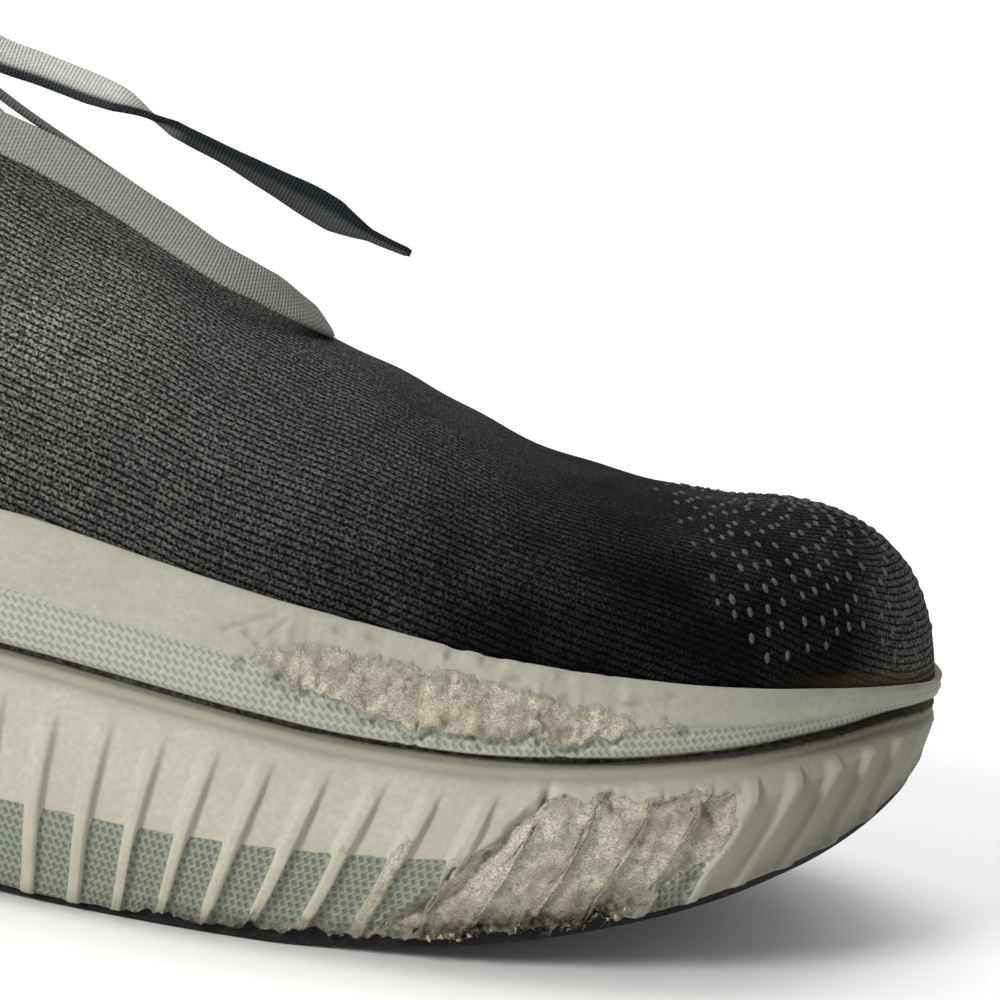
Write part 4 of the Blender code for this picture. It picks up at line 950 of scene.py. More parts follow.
def lower_foam(finish):
    """The lower foam: lip, shoulder, slanted ribs, tucked foot, and the torn forefoot."""
    side, share = ring_places(columns_by_step(0.0004, 0.00062))
    arc = np.interp(-along(share), -sole.half[-1][:, 0], sole.arc[-1])
    apart = arc[:, None] - rib_crests()[None]
    nearest = np.abs(apart).min(1)
    toward_toe = np.take_along_axis(apart, np.abs(apart).argmin(1)[:, None], 1)[:, 0] < 0
    rib = fade(nearest, RIB_WIDTH * 0.26, RIB_WIDTH * np.where(toward_toe, 0.6, 0.82))
    rib = rib * (1 - 0.85 * step(share, 0.968, 0.99))
    thin = smooth(RIDGE_SHARE, share)
    x = along(share)
    top = groove_z(x) - LIP_HEIGHT - CLEAR
    wide = np.minimum(widest_z(x), top - LIP_HEIGHT / 2)
    foot = bottom_z(x) + OUTSOLE_THICKNESS
    skirt = (0.0019 - 0.0007 * step(share, 0.85, 0.92)) * np.where(share > 0.02, 1.0, 0.0)

    def level(down, inset, relief, tuck):
        """A ring: down is 0 at the shoulder's top, 1 at the widest line and 2 at the foot."""
        drop = (top - wide) * min(down, 1.0) + np.maximum(wide - foot, 0.0) * max(down - 1.0, 0.0)
        moved = station(x - RIB_SLANT * smooth(SLANT, share) * drop)
        edge = inset * thin + tuck * under_toe(share) - relief * RIB_PROUD * 1.15 * rib
        flat = sole.at(side, moved, edge)
        z_top = groove_z(flat[:, 0]) - LIP_HEIGHT - CLEAR
        z_wide = np.minimum(widest_z(flat[:, 0]), z_top - LIP_HEIGHT / 2)
        z_foot = bottom_z(flat[:, 0]) + OUTSOLE_THICKNESS + CLEAR - skirt
        z = z_top + (z_wide - z_top) * min(down, 1.0)
        z = z + (z_foot - z_wide) * max(down - 1.0, 0.0)
        return np.concatenate([flat, z[:, None]], -1)

    lip_inset = LIP_INSET * thin + 0.3 * under_toe(share)
    lip_top = sole_ring(side, share, lip_inset, groove_z)
    lip_foot = sole_ring(side, share, lip_inset, groove_z, -LIP_HEIGHT)
    levels = (
        (2.0, TUCK_INSET - 0.0004, 0.75, 1.5), (1.72, TUCK_INSET * 0.62, 0.95, 1.35),
        (1.45, TUCK_INSET * 0.25, 1.0, 1.2), (1.2, TUCK_INSET * 0.04, 1.0, 1.05), (1.0, 0.0, 1.0, 0.9),
        (0.83, SHOULDER_INSET * 0.06, 1.0, 0.8), (0.66, SHOULDER_INSET * 0.22, 1.0, 0.7),
        (0.48, SHOULDER_INSET * 0.42, 0.85, 0.6), (0.3, SHOULDER_INSET * 0.62, 0.5, 0.5),
        (0.1, SHOULDER_INSET * 0.88, 0.0, 0.42), (0.00, SHOULDER_INSET * 1.05, 0.0, 0.4),
    )
    rings = [*(level(*row) for row in levels), lip_foot, lip_top]
    under = level(2.0, TUCK_INSET + 0.0008, 0.0, 1.5)
    under[:, 2] += skirt
    foot_x = rings[0][:, 0]
    frayed = step(foot_x, 0.016, 0.04) * fade(foot_x, 0.098, 0.112) * (side < 0)
    tear = np.abs(rough(rings[0], 0.005, 71)) * 1.3 + 0.6 * np.abs(noise(rings[0], 0.0016, 73))
    lift = frayed * 0.0026 * np.maximum(tear - 0.3, 0.0)
    rings[0][:, 2] += lift
    rings[1][:, 2] += lift * 0.35
    counts = [3, 6, 6, 6, 5, 5, 5, 5, 4, 3, 1, 1, 2]
    proud = (0.7, 0.75, 0.95, 1.0, 1.0, 1.0, 1.0, 1.0, 0.85, 0.5, 0.0, 0.0, 0.0, 0.0)
    rings = loft([under] + rings, counts)
    proud = np.interp(np.arange(len(rings)), np.cumsum([0] + counts), proud)[:, None] * rib * RIB_PROUD
    normals = grid_normals(rings, True)
    normals[:-4, :, 2] *= 0.3
    normals = unit(normals)
    flat = rings[..., [0, 2]]
    outer = np.broadcast_to(side < 0, rings.shape[:2])
    depth = np.where(outer, depth_in(flat, TORN_FOAM), -1.0)
    ragged = depth + rough(rings, 0.0052, 41) * 0.0022 + noise(rings, 0.0013, 44) * 0.0005
    torn = step(ragged, -0.0003, 0.0012)
    hollow = step(ragged, 0.0, 0.0045)
    lumps = rough(rings, 0.0058, 50) * 0.0009 + rough(rings, 0.0019, 53) * 0.00045
    move = -torn * 0.0006 - hollow * 0.0007 + torn * (lumps - 0.75 * proud)
    curl = bell(ragged + 0.0002, 0.0006)
    move = move + curl * 0.00045 * (0.6 + rough(rings, 0.003, 57)) * np.where(depth > -0.5, 1.0, 0.0)
    for deep, width, line in TEARS:
        away = np.where(outer, line_distance(flat, line), 1.0)
        away = np.abs(away + noise(rings, 0.0015, 61) * 0.0003)
        move = move - deep * bell(away, width) ** 2
    above = rings[..., 2] - bottom_z(rings[..., 0]) - OUTSOLE_THICKNESS
    gouge = frayed * fade(above - lift - 0.0004 * rough(rings, 0.0014, 76), 0.0002, 0.0016)
    move = move - gouge * (0.0003 + 0.0004 * rough(rings, 0.0016, 78))
    move = move + noise(rings, 0.013, 3) * 0.0001
    worn_x = step(rings[..., 0], 0.052, 0.064) * fade(rings[..., 0], 0.088, 0.094)
    wear_rib = rib * worn_x * outer * fade(rings[..., 2], 0.015, 0.025)
    move = move - wear_rib * 0.0004 * (0.5 + rough(rings, 0.0015, 81))
    move[:3] = 0.0
    down = -distances(rings[::-1], 0)[::-1]
    rings = rings + normals * move[..., None]
    line = np.broadcast_to(ring_arc(side, share), down.shape)
    zone = widest_z(rings[..., 0]) - 0.0006 - rings[..., 2] + noise(rings, 0.0012, 6) * 0.00012
    zone = np.where(rib > 0.45, -0.001, zone)
    zone = np.where(rings[..., 0] > 0.112, np.minimum(zone, -0.0005), zone)
    # Painted shade: the rows under the foot, the lip below the groove and the toe end are darkened; the
    # gouges get dirt and painted shade, and the foam is darker just above the outsole.
    recess_shade = np.zeros(rings.shape[:2])
    recess_shade[:4] = 1.0
    recess_shade[-1] = 0.55
    recess_shade[-3:-1] = 0.16
    toe_shade = step(rings[..., 0], 0.1, 0.135) * 0.42
    grime_and_shade = held(gouge * 0.35 + step(0.0022 - above, 0.0, 0.003) * 0.25 + recess_shade + toe_shade)
    # The low part of the tear is darker, with brown dirt and painted shade in its hollow.
    low_torn = torn * fade(above, 0.001, 0.007) * 0.45
    fibrous = held(torn + gouge * 0.45 + wear_rib * 0.7)
    fields = {"zone": zone, "torn": fibrous, "dirt_and_shade": held(grime_and_shade + low_torn)}
    mesh = grid_mesh("lower_foam", rings, np.stack([line, down], -1), fields, caps=True)
    piece("lower_foam", mesh, finish, "lower_foam", "midsole_lower")
    return rings, torn


def outsole(finish):
    """Thin rubber: a plain edge band, and two rows of lugs cut by cross grooves and a channel."""
    share = station(np.linspace(along(0.9996), along(0.0004), 430))
    ends = {}
    for side in (-1, 1):
        inset = foot_inset(share)
        top = sole_ring(side, share, inset + CLEAR * 3, bottom_z, OUTSOLE_THICKNESS)
        low = sole_ring(side, share, inset + OUTSOLE_THICKNESS * 0.3, bottom_z)
        ends[side] = (top, low)
    across = np.linspace(0.0, 1.0, 45)[None, :, None]
    outer, inner = ends[-1][1][:, None], ends[1][1][:, None]
    base = outer + (inner - outer) * across
    wide = norm(inner - outer)
    from_edge = np.minimum(across[..., 0], 1 - across[..., 0]) * wide
    from_middle = np.abs(across[..., 0] - 0.5) * wide
    x = base[..., 0]
    phase = (x - along(0.962)) / TREAD_PITCH
    from_groove = np.abs(phase - np.round(phase)) * TREAD_PITCH
    cut = fade(from_groove, TREAD_GROOVE * 0.36, TREAD_GROOVE * 0.56)
    channel = fade(from_middle, CENTRE_CHANNEL * 0.44, CENTRE_CHANNEL * 0.52)
    channel = channel * step(wide, CENTRE_CHANNEL * 2, CENTRE_CHANNEL * 3)
    inside = step(from_edge, EDGE_BAND * 0.8, EDGE_BAND * 1.3)
    base[..., 2] += np.maximum(cut, channel) * inside * TREAD_DEPTH
    walls = {side: [between(*ends[side], part) for part in (0.0, 0.25, 0.55, 0.85)] for side in (-1, 1)}
    grid = np.stack([*walls[-1], *np.swapaxes(base, 0, 1), *walls[1][::-1]], 1)
    mesh = grid_mesh("tread", grid, caps=True)
    mend(mesh)
    mesh.set_sharp_from_angle(angle=math.radians(50))
    piece("tread", mesh, finish, "outsole_rubber", "outsole")


def columns_at(table, share):
    """Each further column of a table, at stations given by its first column."""
    return [smooth([(row[0], row[k]) for row in table], share) for k in range(1, len(table[0]))]


def side_curves(side, share):
    """The four control points of each column of the upper, and how far up it goes."""
    top, open_share, *front = columns_at(SIDES, share)
    back_top, wide, high, *back = columns_at(COLLAR, share)
    collar = share < SIDES[-1][0]
    rise, reach, lean = np.where(collar, back, front)[..., None]
    inset = rim_inset(share) + CLEAR
    foot = sole_ring(side, share, inset, rim_top_z)
    out = unit(sole.at(side, share, 0.0) - sole.at(side, share, inset))
    out = np.concatenate([out, np.zeros((len(out), 1))], -1)
    up = np.array([0.0, 0.0, 1.0])
    end_back = np.stack([along(back_top), side * COLLAR_HALF_WIDTH * wide, COLLAR_HEIGHT * high], -1)
    x = along(top)
    end_front = np.stack([x, np.full_like(x, CREST_ACROSS), crest_z(x)], -1)
    end = np.where(collar[:, None], end_back, end_front)
    tall = (end - foot)[:, 2:]
    first = foot + (up + out * lean) * tall * rise
    span = (end - foot) * (1.0, 1.0, 0.0)
    second = end - np.where(collar[:, None], (up - out * 0.3) * tall, span) * reach
    away = THROAT_HALF_WIDTH * np.maximum(open_share, 0.0)
    low = np.full(len(share), 0.3)
    high = np.ones(len(share))
    for _ in range(30):
        middle = (low + high) / 2
        y = bezier(foot[:, 1], first[:, 1], second[:, 1], end[:, 1], middle)
        far = np.abs(y - end[:, 1]) > away
        low = np.where(far, middle, low)
        high = np.where(far, high, middle)
    stop = np.where(collar | (open_share <= 0.0), 1.0, low)
    return (foot, first, second, end), stop, collar, open_share


def curve_points(curves, t):
    return bezier(*(part[None] for part in curves), np.asarray(t)[..., None])


def upper(finish, edging):
    """The knitted wall, padded at the collar, with lace holes, soft folds and a bound edge."""
    shares = columns_by_step(0.00125, 0.0017, -0.06)
    anchors = np.array([0.485, SIDES[-1][0]])
    shares = np.sort(np.unique(np.concatenate([shares, anchors])))[::-1]
    side, share = ring_places(shares)
    curves, stop, collar, open_share = side_curves(side, share)
    v = np.linspace(0.0, 1.0, UPPER_ROWS) ** 0.92
    skin = curve_points(curves, v[:, None] * stop[None])
    inset = rim_inset(share) + CLEAR
    low = sole_ring(side, share, inset + CUP_TAPER, footbed_z, CLEAR)
    rings = np.concatenate([[low + (skin[0] - low) * k / 3 for k in range(3)], skin])
    v = np.concatenate([[0.0] * 3, v])
    normals = grid_normals(rings, True)
    normals[-1, 0] = normals[-2, 0]
    move = noise(rings, 0.016, 4) * 0.00022
    beyond = curve_points(curves, stop[None] + (1 - stop)[None] * np.linspace(0.0, 1.0, 12)[:, None])
    beyond = distances(beyond, 0)[-1]
    beyond = np.where(collar, beyond[~collar].max(), beyond)
    from_crest = distances(rings[::-1], 0)[::-1] + beyond[None]
    for where, lean, deep, half in FOLDS:
        x = rings[..., 0] - along(where) + lean * from_crest
        reach = step(rings[..., 2], 0.05, 0.062) * (1 - 0.35 * step(from_crest, 0.0, 0.05))
        bend = bell(x, half) - 0.55 * bell(x - half * 1.7, half)
        move = move - deep * bend * reach
    move = move * step(v, 0.0, 0.12)[:, None]
    rings = rings + normals * move[..., None]
    partner = (-np.arange(len(share))) % len(share)
    welded = ~collar & (open_share <= 0.0)
    both = (rings[-1] + rings[-1][partner]) / 2
    rings[-1][welded] = both[welded]
    back_part = held((PAD_STATIONS[0] - share) / (PAD_STATIONS[0] - PAD_STATIONS[1]))
    high_part = held((v - PAD_ROWS[0]) / (PAD_ROWS[1] - PAD_ROWS[0]))
    pad = back_part[None] * high_part[:, None]

    arc = ring_arc(side, share)
    uv = np.stack([np.broadcast_to(arc * 0.94, from_crest.shape), from_crest], -1)
    # Painted light: the knit is paler higher above the rim, where the light falls; towards the heel it is
    # paler from its own fuzz and from painted light.
    grey = fade(rings[..., 0], -0.03, 0.098)
    lift = step(rings[..., 2] - rim_top_z(rings[..., 0]), 0.0, 0.03)
    fuzz_and_light = np.clip(grey * (0.55 + 0.45 * lift) + 0.1 * lift, 0.03, 1.0)
    worn_top = step(rings[..., 0], 0.085, 0.13) * fade(from_crest, 0.0, 0.016) * 0.42
    worn_tip = step(rings[..., 0], 0.128, 0.146) * 0.55
    fuzz_and_light = np.maximum(fuzz_and_light, np.maximum(worn_top, worn_tip))
    fuzz_and_light = held(fuzz_and_light + noise(rings, 0.006, 17) * 0.05)
    # On the knit the field holds only dust at the toe, without painted shade.
    low_part = fade(v, 0.0, 0.05)[:, None]
    toe = step(rings[..., 0], 0.115, 0.142)
    dirt_and_shade = low_part * toe * (0.5 + 0.3 * noise(rings, 0.004, 19))
    mesh = grid_mesh("knit_upper", rings, uv, {"fuzz_and_light": fuzz_and_light, "dirt_and_shade": dirt_and_shade, "pad": pad})
    mend(mesh, len(share), 0.00006)
    made = piece("knit_upper", mesh, finish, "knit", "upper")
    group = made.vertex_groups.new(name="pad")
    for number, weight in enumerate(mesh.attributes["pad"].data):
        group.add([number], weight.value, "REPLACE")
    wall = made.modifiers.new("wall", "SOLIDIFY")
    wall.thickness = COLLAR_PAD
    wall.offset = -1.0
    wall.vertex_group = "pad"
    wall.thickness_vertex_group = WALL / COLLAR_PAD
    wall.use_even_offset = False
    wall.use_quality_normals = True
    cut_eyelets(made)

    bound = collar | (open_share > 0.0)
    order = [*np.where(bound & (side < 0))[0], *np.where(bound & (side > 0))[0]]
    thickness = WALL + (COLLAR_PAD - WALL) * pad[-1]
    bound_edge(rings[-1][order], grid_normals(rings, True)[-1][order], thickness[order], edging)
    return rings, normals, side, share


def cut_eyelets(made):
    """Cuts the lace holes through the upper, and settles its modifiers."""
    holes = bmesh.new()
    for side, where in itertools.product((-1, 1), EYELET_STATIONS):
        place, normal = eyelet(side, where)
        bmesh.ops.create_cone(
            holes,
            cap_ends=True,
            segments=20,
            radius1=EYELET_RADIUS,
            radius2=EYELET_RADIUS,
            depth=WALL * 4,
            matrix=Matrix.Translation(place) @ normal.to_track_quat("Z", "Y").to_matrix().to_4x4(),
        )
    tool = placed("eyelet_cutters", bpy.data.meshes.new("eyelet_cutters"))
    holes.to_mesh(tool.data)
    holes.free()
    cut = made.modifiers.new("eyelets", "BOOLEAN")
    cut.operation = "DIFFERENCE"
    cut.solver = "EXACT"
    cut.object = tool
    bpy.context.view_layer.update()
    settled = bpy.data.meshes.new_from_object(made.evaluated_get(bpy.context.evaluated_depsgraph_get()))
    made.modifiers.clear()
    made.data = settled
    settled.shade_smooth()
    bpy.data.objects.remove(tool)


def bound_edge(edge, outward, thickness, finish):
    """The rolled binding over the collar's and the throat's cut edge."""
    line = edge - outward * (thickness / 2)[:, None]
    radius = thickness / 2 + 0.00025
    up = unit(np.cross(outward, np.gradient(line, axis=0)))
    turn = np.linspace(0, 2 * math.pi, 15)[:-1]
    swell = 1 + 0.03 * noise(line, 0.004, 91)
    wide = (radius * swell)[:, None] * np.cos(turn)
    tall = np.minimum(radius, 0.0017)[:, None] * np.sin(turn)
    rolls = swept(line, outward, wide, up, tall)
    reach = distances(line[None], 1)[0]
    uv = np.stack(np.broadcast_arrays(reach[:, None], turn[None] * 0.0016), -1)
    mesh = grid_mesh("bound_edge", rolls, uv, {"fuzz_and_light": 0.45, "dirt_and_shade": 0.0}, caps=True)
    piece("bound_edge", mesh, finish, "knit")


def throat_section(share, reach):
    """Points of the outer skin across the instep, from reach below one facing's edge to reach
    below the other's, with a bridge over the open throat."""
    halves = {}
    for side in (-1, 1):
        curves, stop, *_ = side_curves(np.array([side]), np.array([share]))
        end = stop[0]
        over = curve_points(curves, (1 - (1 - end) * np.arange(9) / 8)[:, None])[:, 0]
        down = curve_points(curves, (end * (1 - np.arange(1, 60) / 70))[:, None])[:, 0]
        line = np.vstack([over[-1:], down])
        run = distances(line[None], 1)[0]
        inside = down[run[1:] < reach]
        last = np.array([np.interp(reach, run, line[:, k]) for k in range(3)])
        halves[side] = np.vstack([over, inside, last[None]])
    return np.vstack([halves[-1][::-1], halves[1][1:]])


def at_share(line, share):
    run = distances(line[None], 1)[0]
    want = held(share) * run[-1]
    return np.stack([np.interp(want, run, line[:, k]) for k in range(3)], -1)


def instep(share, across, reach):
    """A point of the instep's skin and its outward normal. Across runs from 0, outer, to 1."""
    near = throat_section(share, reach)
    here = at_share(near, across)
    ahead = at_share(throat_section(share + 0.004, reach), across)
    behind = at_share(throat_section(share - 0.004, reach), across)
    width = at_share(near, across + 0.02) - at_share(near, across - 0.02)
    normal = np.cross(ahead - behind, width)
    return Vector(here), Vector(normal).normalized()


def eyelet(side, share):
    return instep(share, 0.0 if side < 0 else 1.0, EYELET_SETBACK)


def refine(grid, parts):
    """A grid of points with each gap cut into smooth parts, both ways."""
    once = loft(grid, [parts] * (len(grid) - 1))
    turned = np.swapaxes(once, 0, 1)
    return np.swapaxes(loft(turned, [parts] * (len(turned) - 1)), 0, 1)


def tongue(finish):
    """Padded tongue under the throat, which stands a little above it."""
    stations = (0.535, 0.51, 0.48, 0.45, 0.42, 0.39, 0.36, 0.335, 0.312)
    rows = []
    for number, share in enumerate(stations):
        reach = TONGUE_REACH * (1.0 if number < 6 else 1.0 - 0.14 * (number - 5))
        row = []
        for part in np.arange(9) / 8:
            place, normal = instep(share, part, reach)
            row.append(place - normal * (WALL + TONGUE_CLEAR))
        rows.append(row)
    slope = (rows[-1][4] - rows[-3][4]).normalized()
    base = rows[-1]
    for number, part in enumerate((0.35, 0.7, 1.0)):
        width = 1.0 - 0.05 * (number + 1) - (0.12 if part == 1.0 else 0.0)
        row = []
        for place in base:
            away = Vector((place.x, base[4].y + (place.y - base[4].y) * width, 0.0))
            away.z = base[4].z + (place.z - base[4].z) * width
            row.append(away + slope * TONGUE_RISE * part + Vector((-TONGUE_CURL, 0.0, TONGUE_CURL)) * number)
        rows.append(row)
    top = refine(np.array([[tuple(p) for p in row] for row in rows]), 5)
    normals = grid_normals(top, False)
    if normals[20, 20, 2] < 0:
        normals = -normals
    rows_along = np.linspace(0.0, 1.0, top.shape[0])[:, None]
    across = np.linspace(-1.0, 1.0, top.shape[1])[None]
    round_off = np.sqrt(held(1 - np.abs(across) ** 6))
    round_off = round_off * np.sqrt(held(1 - (2 * rows_along - 1) ** 22))
    half = TONGUE_THICKNESS / 2
    middle = top - normals * half
    face = middle + normals * (half * round_off)[..., None]
    back = middle - normals * (half * round_off)[..., None]
    loops = np.concatenate([face, back[:, ::-1]], 1)
    uv = np.stack([distances(loops, 0), distances(loops, 1)], -1)
    mesh = grid_mesh("tongue_pad", loops, uv, {"fuzz_and_light": 0.55, "dirt_and_shade": 0.0}, caps=True)
    mend(mesh)
    made = piece("tongue_pad", mesh, finish, "tongue_knit", "tongue")


def insole(finish):
    """The insole, slightly dished under the heel and worn smooth."""
    side, share = ring_places(columns_by_step(0.003, 0.003))
    inset = rim_inset(share) + CUP_TAPER + CLEAR + WALL + INSOLE_CLEAR
    rings = []
    for more, lift in ((0.0, 0.0), (0.0, 0.55), (0.0006, 0.85), (0.0016, 1.0)):
        rise = CLEAR + INSOLE_THICKNESS * lift
        rings.append(sole_ring(side, share, inset + more, footbed_z, rise))
    rim = rings[-1]
    middle = rim.copy()
    partner = np.concatenate([[0], np.arange(len(rim) - 1, 0, -1)])
    middle[:, 1] = (rim[:, 1] + rim[partner, 1]) / 2
    for part in (0.15, 0.32, 0.52, 0.75, 0.999):
        ring = rim + (middle - rim) * part
        ring[:, 2] -= 0.0008 * math.sin(part * math.pi / 2)
        rings.append(ring)
    rings = np.array(rings)
    mesh = grid_mesh("insole_pad", rings, rings[..., :2])
    mend(mesh, len(rim), 0.0003, outward=False)
    made = piece("insole_pad", mesh, finish, "insole_cloth", "insole")


def smooth_route(points):
    """Evenly spaced points along a smooth curve through the route's own points."""
    line = loft(np.array(points)[:, None], [14] * (len(points) - 1))[:, 0]
    run = distances(line[None], 1)[0]
    return at_share(line, np.linspace(0.0, 1.0, max(4, round(run[-1] / LACE_GAP)) + 1))


def spread(keys, count):
    """Values between keys of (share, value or values), one for each point of a line."""
    shares = np.array([key[0] for key in keys], dtype=float)
    values = np.array([np.atleast_1d(key[1]) for key in keys], dtype=float)
    at = np.linspace(0.0, 1.0, count)
    return np.stack([np.interp(at, shares, values[:, k]) for k in range(values.shape[1])], -1)


def ribbon(name, line, faces, widths, thickness=LACE_THICKNESS, grime_and_shade=((0, 0.45), (1, 0.45)), edge=0.0):
    """A flat woven lace along a line. Faces say which way its flat side looks; edge darkens one side as
    painted shade of its underside.
    """
    count = len(line)
    ahead = unit(np.gradient(line, axis=0))
    out = spread(faces, count)
    out = unit(out - (out * ahead).sum(1)[:, None] * ahead)
    wide = np.cross(ahead, out)
    size = spread(widths, count)[:, 0] * LACE_WIDTH / 2
    swell = 1 + 0.05 * noise(line, 0.005, 7)
    turn = np.linspace(0, 2 * math.pi, 21)[:-1]
    across = np.sign(np.cos(turn)) * np.abs(np.cos(turn)) ** 0.75
    tall = np.sign(np.sin(turn)) * np.abs(np.sin(turn)) ** 0.75
    tall = tall * (1 + 0.22 * np.abs(across) ** 3)
    end = np.ones(count)
    end[0] = end[-1] = 0.72
    thin = thickness / 2 * np.minimum(1.0, 0.45 + 0.8 * size / (LACE_WIDTH / 2))
    rings = swept(line, wide, (size * swell * end)[:, None] * across, out, (thin * end)[:, None] * tall)
    run = distances(line[None], 1)[0]
    uv = np.stack(np.broadcast_arrays(run[:, None], across[None] * LACE_WIDTH / 2), -1)
    # Painted shade and grime darken the lace along its length, and edge paints shade on its lower side.
    dark = held(spread(grime_and_shade, count) + edge * step(across, 0.3, 0.7)[None])
    return grid_mesh(name, rings, uv, {"grime_and_shade": dark}, caps=True), run[-1]


def at_knot(towards):
    """The point just off the knot's surface on the line from its centre to another point."""
    turn = Matrix.Rotation(KNOT_TILT, 3, "Y")
    way = (Vector(towards) - Vector(KNOT_CENTRE)).normalized()
    local = turn.transposed() @ way
    radius = 1 / math.sqrt(sum((2 * a / b) ** 2 for a, b in zip(local, KNOT_SIZE)))
    return tuple(Vector(KNOT_CENTRE) + way * (radius + CLEAR * 2))


# Looks of the free laces along their length: which way the flat side faces, width as a share of the
# lace, darkness as grime and painted shade, and how much darker one edge is as painted shade
LACE_LOOKS = {
    "lace_end_outer": {
        "faces": (
            (0, (0.1, -0.75, 0.65)), (0.3, (0.15, -0.8, 0.6)), (0.5, (0.2, -0.7, 0.75)),
            (0.56, (0.1, 0.1, 1)), (0.6, (-0.2, 0.75, 0.45)), (0.68, (-0.2, 0.8, 0.62)),
            (1, (-0.3, 0.85, 0.52)),
        ),
        "widths": (
            (0, 0.85), (0.1, 0.95), (0.46, 0.95), (0.53, 0.72), (0.58, 0.44), (0.61, 0.42),
            (0.7, 0.54), (0.8, 0.82), (0.87, 0.92), (0.9, 0.62), (0.93, 0.32), (1, 0.22),
        ),
        # Painted shade: past the twist the lace shows its underside, painted dark.
        "grime_and_shade": ((0, 0.1), (0.5, 0.05), (0.56, 0.55), (0.62, 0.97), (0.85, 0.9), (1, 0.86)),
        # Painted shade on the lower edge: the underside, seen edge-on.
        "edge": 0.92,
    },
    "lace_loop_outer": {
        "faces": (
            (0, (0.2, -0.8, 0.5)), (0.35, (0.3, -0.85, 0.45)), (0.46, (0.5, -0.7, 0.6)),
            (0.54, (0.8, 0.1, 0.7)), (0.62, (0.3, 0.3, 1)), (0.8, (0.2, 0, 1)), (1, (0.2, -0.1, 1)),
        ),
        "widths": ((0, 0.8), (0.08, 1), (0.92, 1), (1, 0.8)),
        # Painted shade: the loop is mid grey where it faces forward and down, and darker on its return
        # strand.
        "grime_and_shade": ((0, 0.52), (0.4, 0.5), (0.6, 0.62), (1, 0.85)),
    },
    "lace_loop_inner": {
        "faces": (
            (0, (0.2, 0.4, 0.9)), (0.4, (0.4, 0.8, 0.4)), (0.55, (0.9, 0.2, 0.1)),
            (0.7, (0.6, -0.6, 0.4)), (1, (0.3, -0.3, 0.9)),
        ),
        "widths": ((0, 0.8), (0.08, 1), (0.92, 1), (1, 0.8)),
        "grime_and_shade": ((0, 0.5), (1, 0.5)),
    },
    "lace_end_inner": {
        "faces": ((0, (0, 0.4, 0.9)), (0.4, (0.1, 0.85, 0.5)), (1, (0.2, 0.95, 0.25))),
        "widths": ((0, 0.8), (0.08, 1), (0.93, 1), (0.96, 0.42), (1, 0.34)),
        "grime_and_shade": ((0, 0.45), (1, 0.6)),
    },
}


def free_laces(finish):
    """The bow's two loops and two ends, each a flat ribbon that twists as it falls."""
    for name, route in LACE_ROUTES.items():
        points = [tuple(np.array(p) / 1000) for p in route]
        points[0] = at_knot(points[1])
        if "loop" in name:
            points[-1] = at_knot(points[-2])
        line = smooth_route(points)
        mesh, length = ribbon(name, line, **LACE_LOOKS[name])
        made = piece("flat_" + name, mesh, finish, "lace", name)


def knot(finish):
    """The tied knot: a creased bundle with one turn of the lace drawn over it."""
    turn = Matrix.Rotation(KNOT_TILT, 3, "Y")
    half = np.array(KNOT_SIZE) / 2
    rows, columns = 40, 64
    up = np.linspace(-math.pi / 2 + 0.02, math.pi / 2 - 0.02, rows)[:, None]
    around = np.linspace(0, 2 * math.pi, columns, endpoint=False)[None]
    ball = np.stack(np.broadcast_arrays(
        np.cos(up) * np.cos(around), np.cos(up) * np.sin(around), np.sin(up)
    ), -1)
    pinch = 1 - 0.28 * bell(ball[..., 0], 0.32)
    crease = 1 + 0.05 * np.sin(ball[..., 1] * 15 + ball[..., 2] * 3) * np.abs(ball[..., 0]) ** 0.5
    local = ball * half * 0.92
    local[..., 1] *= pinch
    local[..., 2] *= pinch * crease
    world = local @ np.array(turn).T + np.array(KNOT_CENTRE)
    mesh = grid_mesh("knot_core", world, world[..., :2], {"grime_and_shade": 0.5}, caps=True)
    mend(mesh)
    piece("knot_core", mesh, finish, "lace", "lace_knot")
    lap = np.linspace(0, 2 * math.pi, 61)
    wrap = np.stack([0.0006 * np.sin(lap), np.cos(lap) * half[1] * 0.86, np.sin(lap) * half[2] * 0.9], -1)
    line = wrap @ np.array(turn).T + np.array(KNOT_CENTRE)
    outward = (wrap * (0.0, 1.0, 1.6)) @ np.array(turn).T
    faces = [(k / 60, tuple(outward[k])) for k in range(61)]
    mesh = ribbon("knot_turn", line, faces, ((0.0, 1.0), (1.0, 1.0)), 0.0012)[0]
    piece("knot_turn", mesh, finish, "lace")


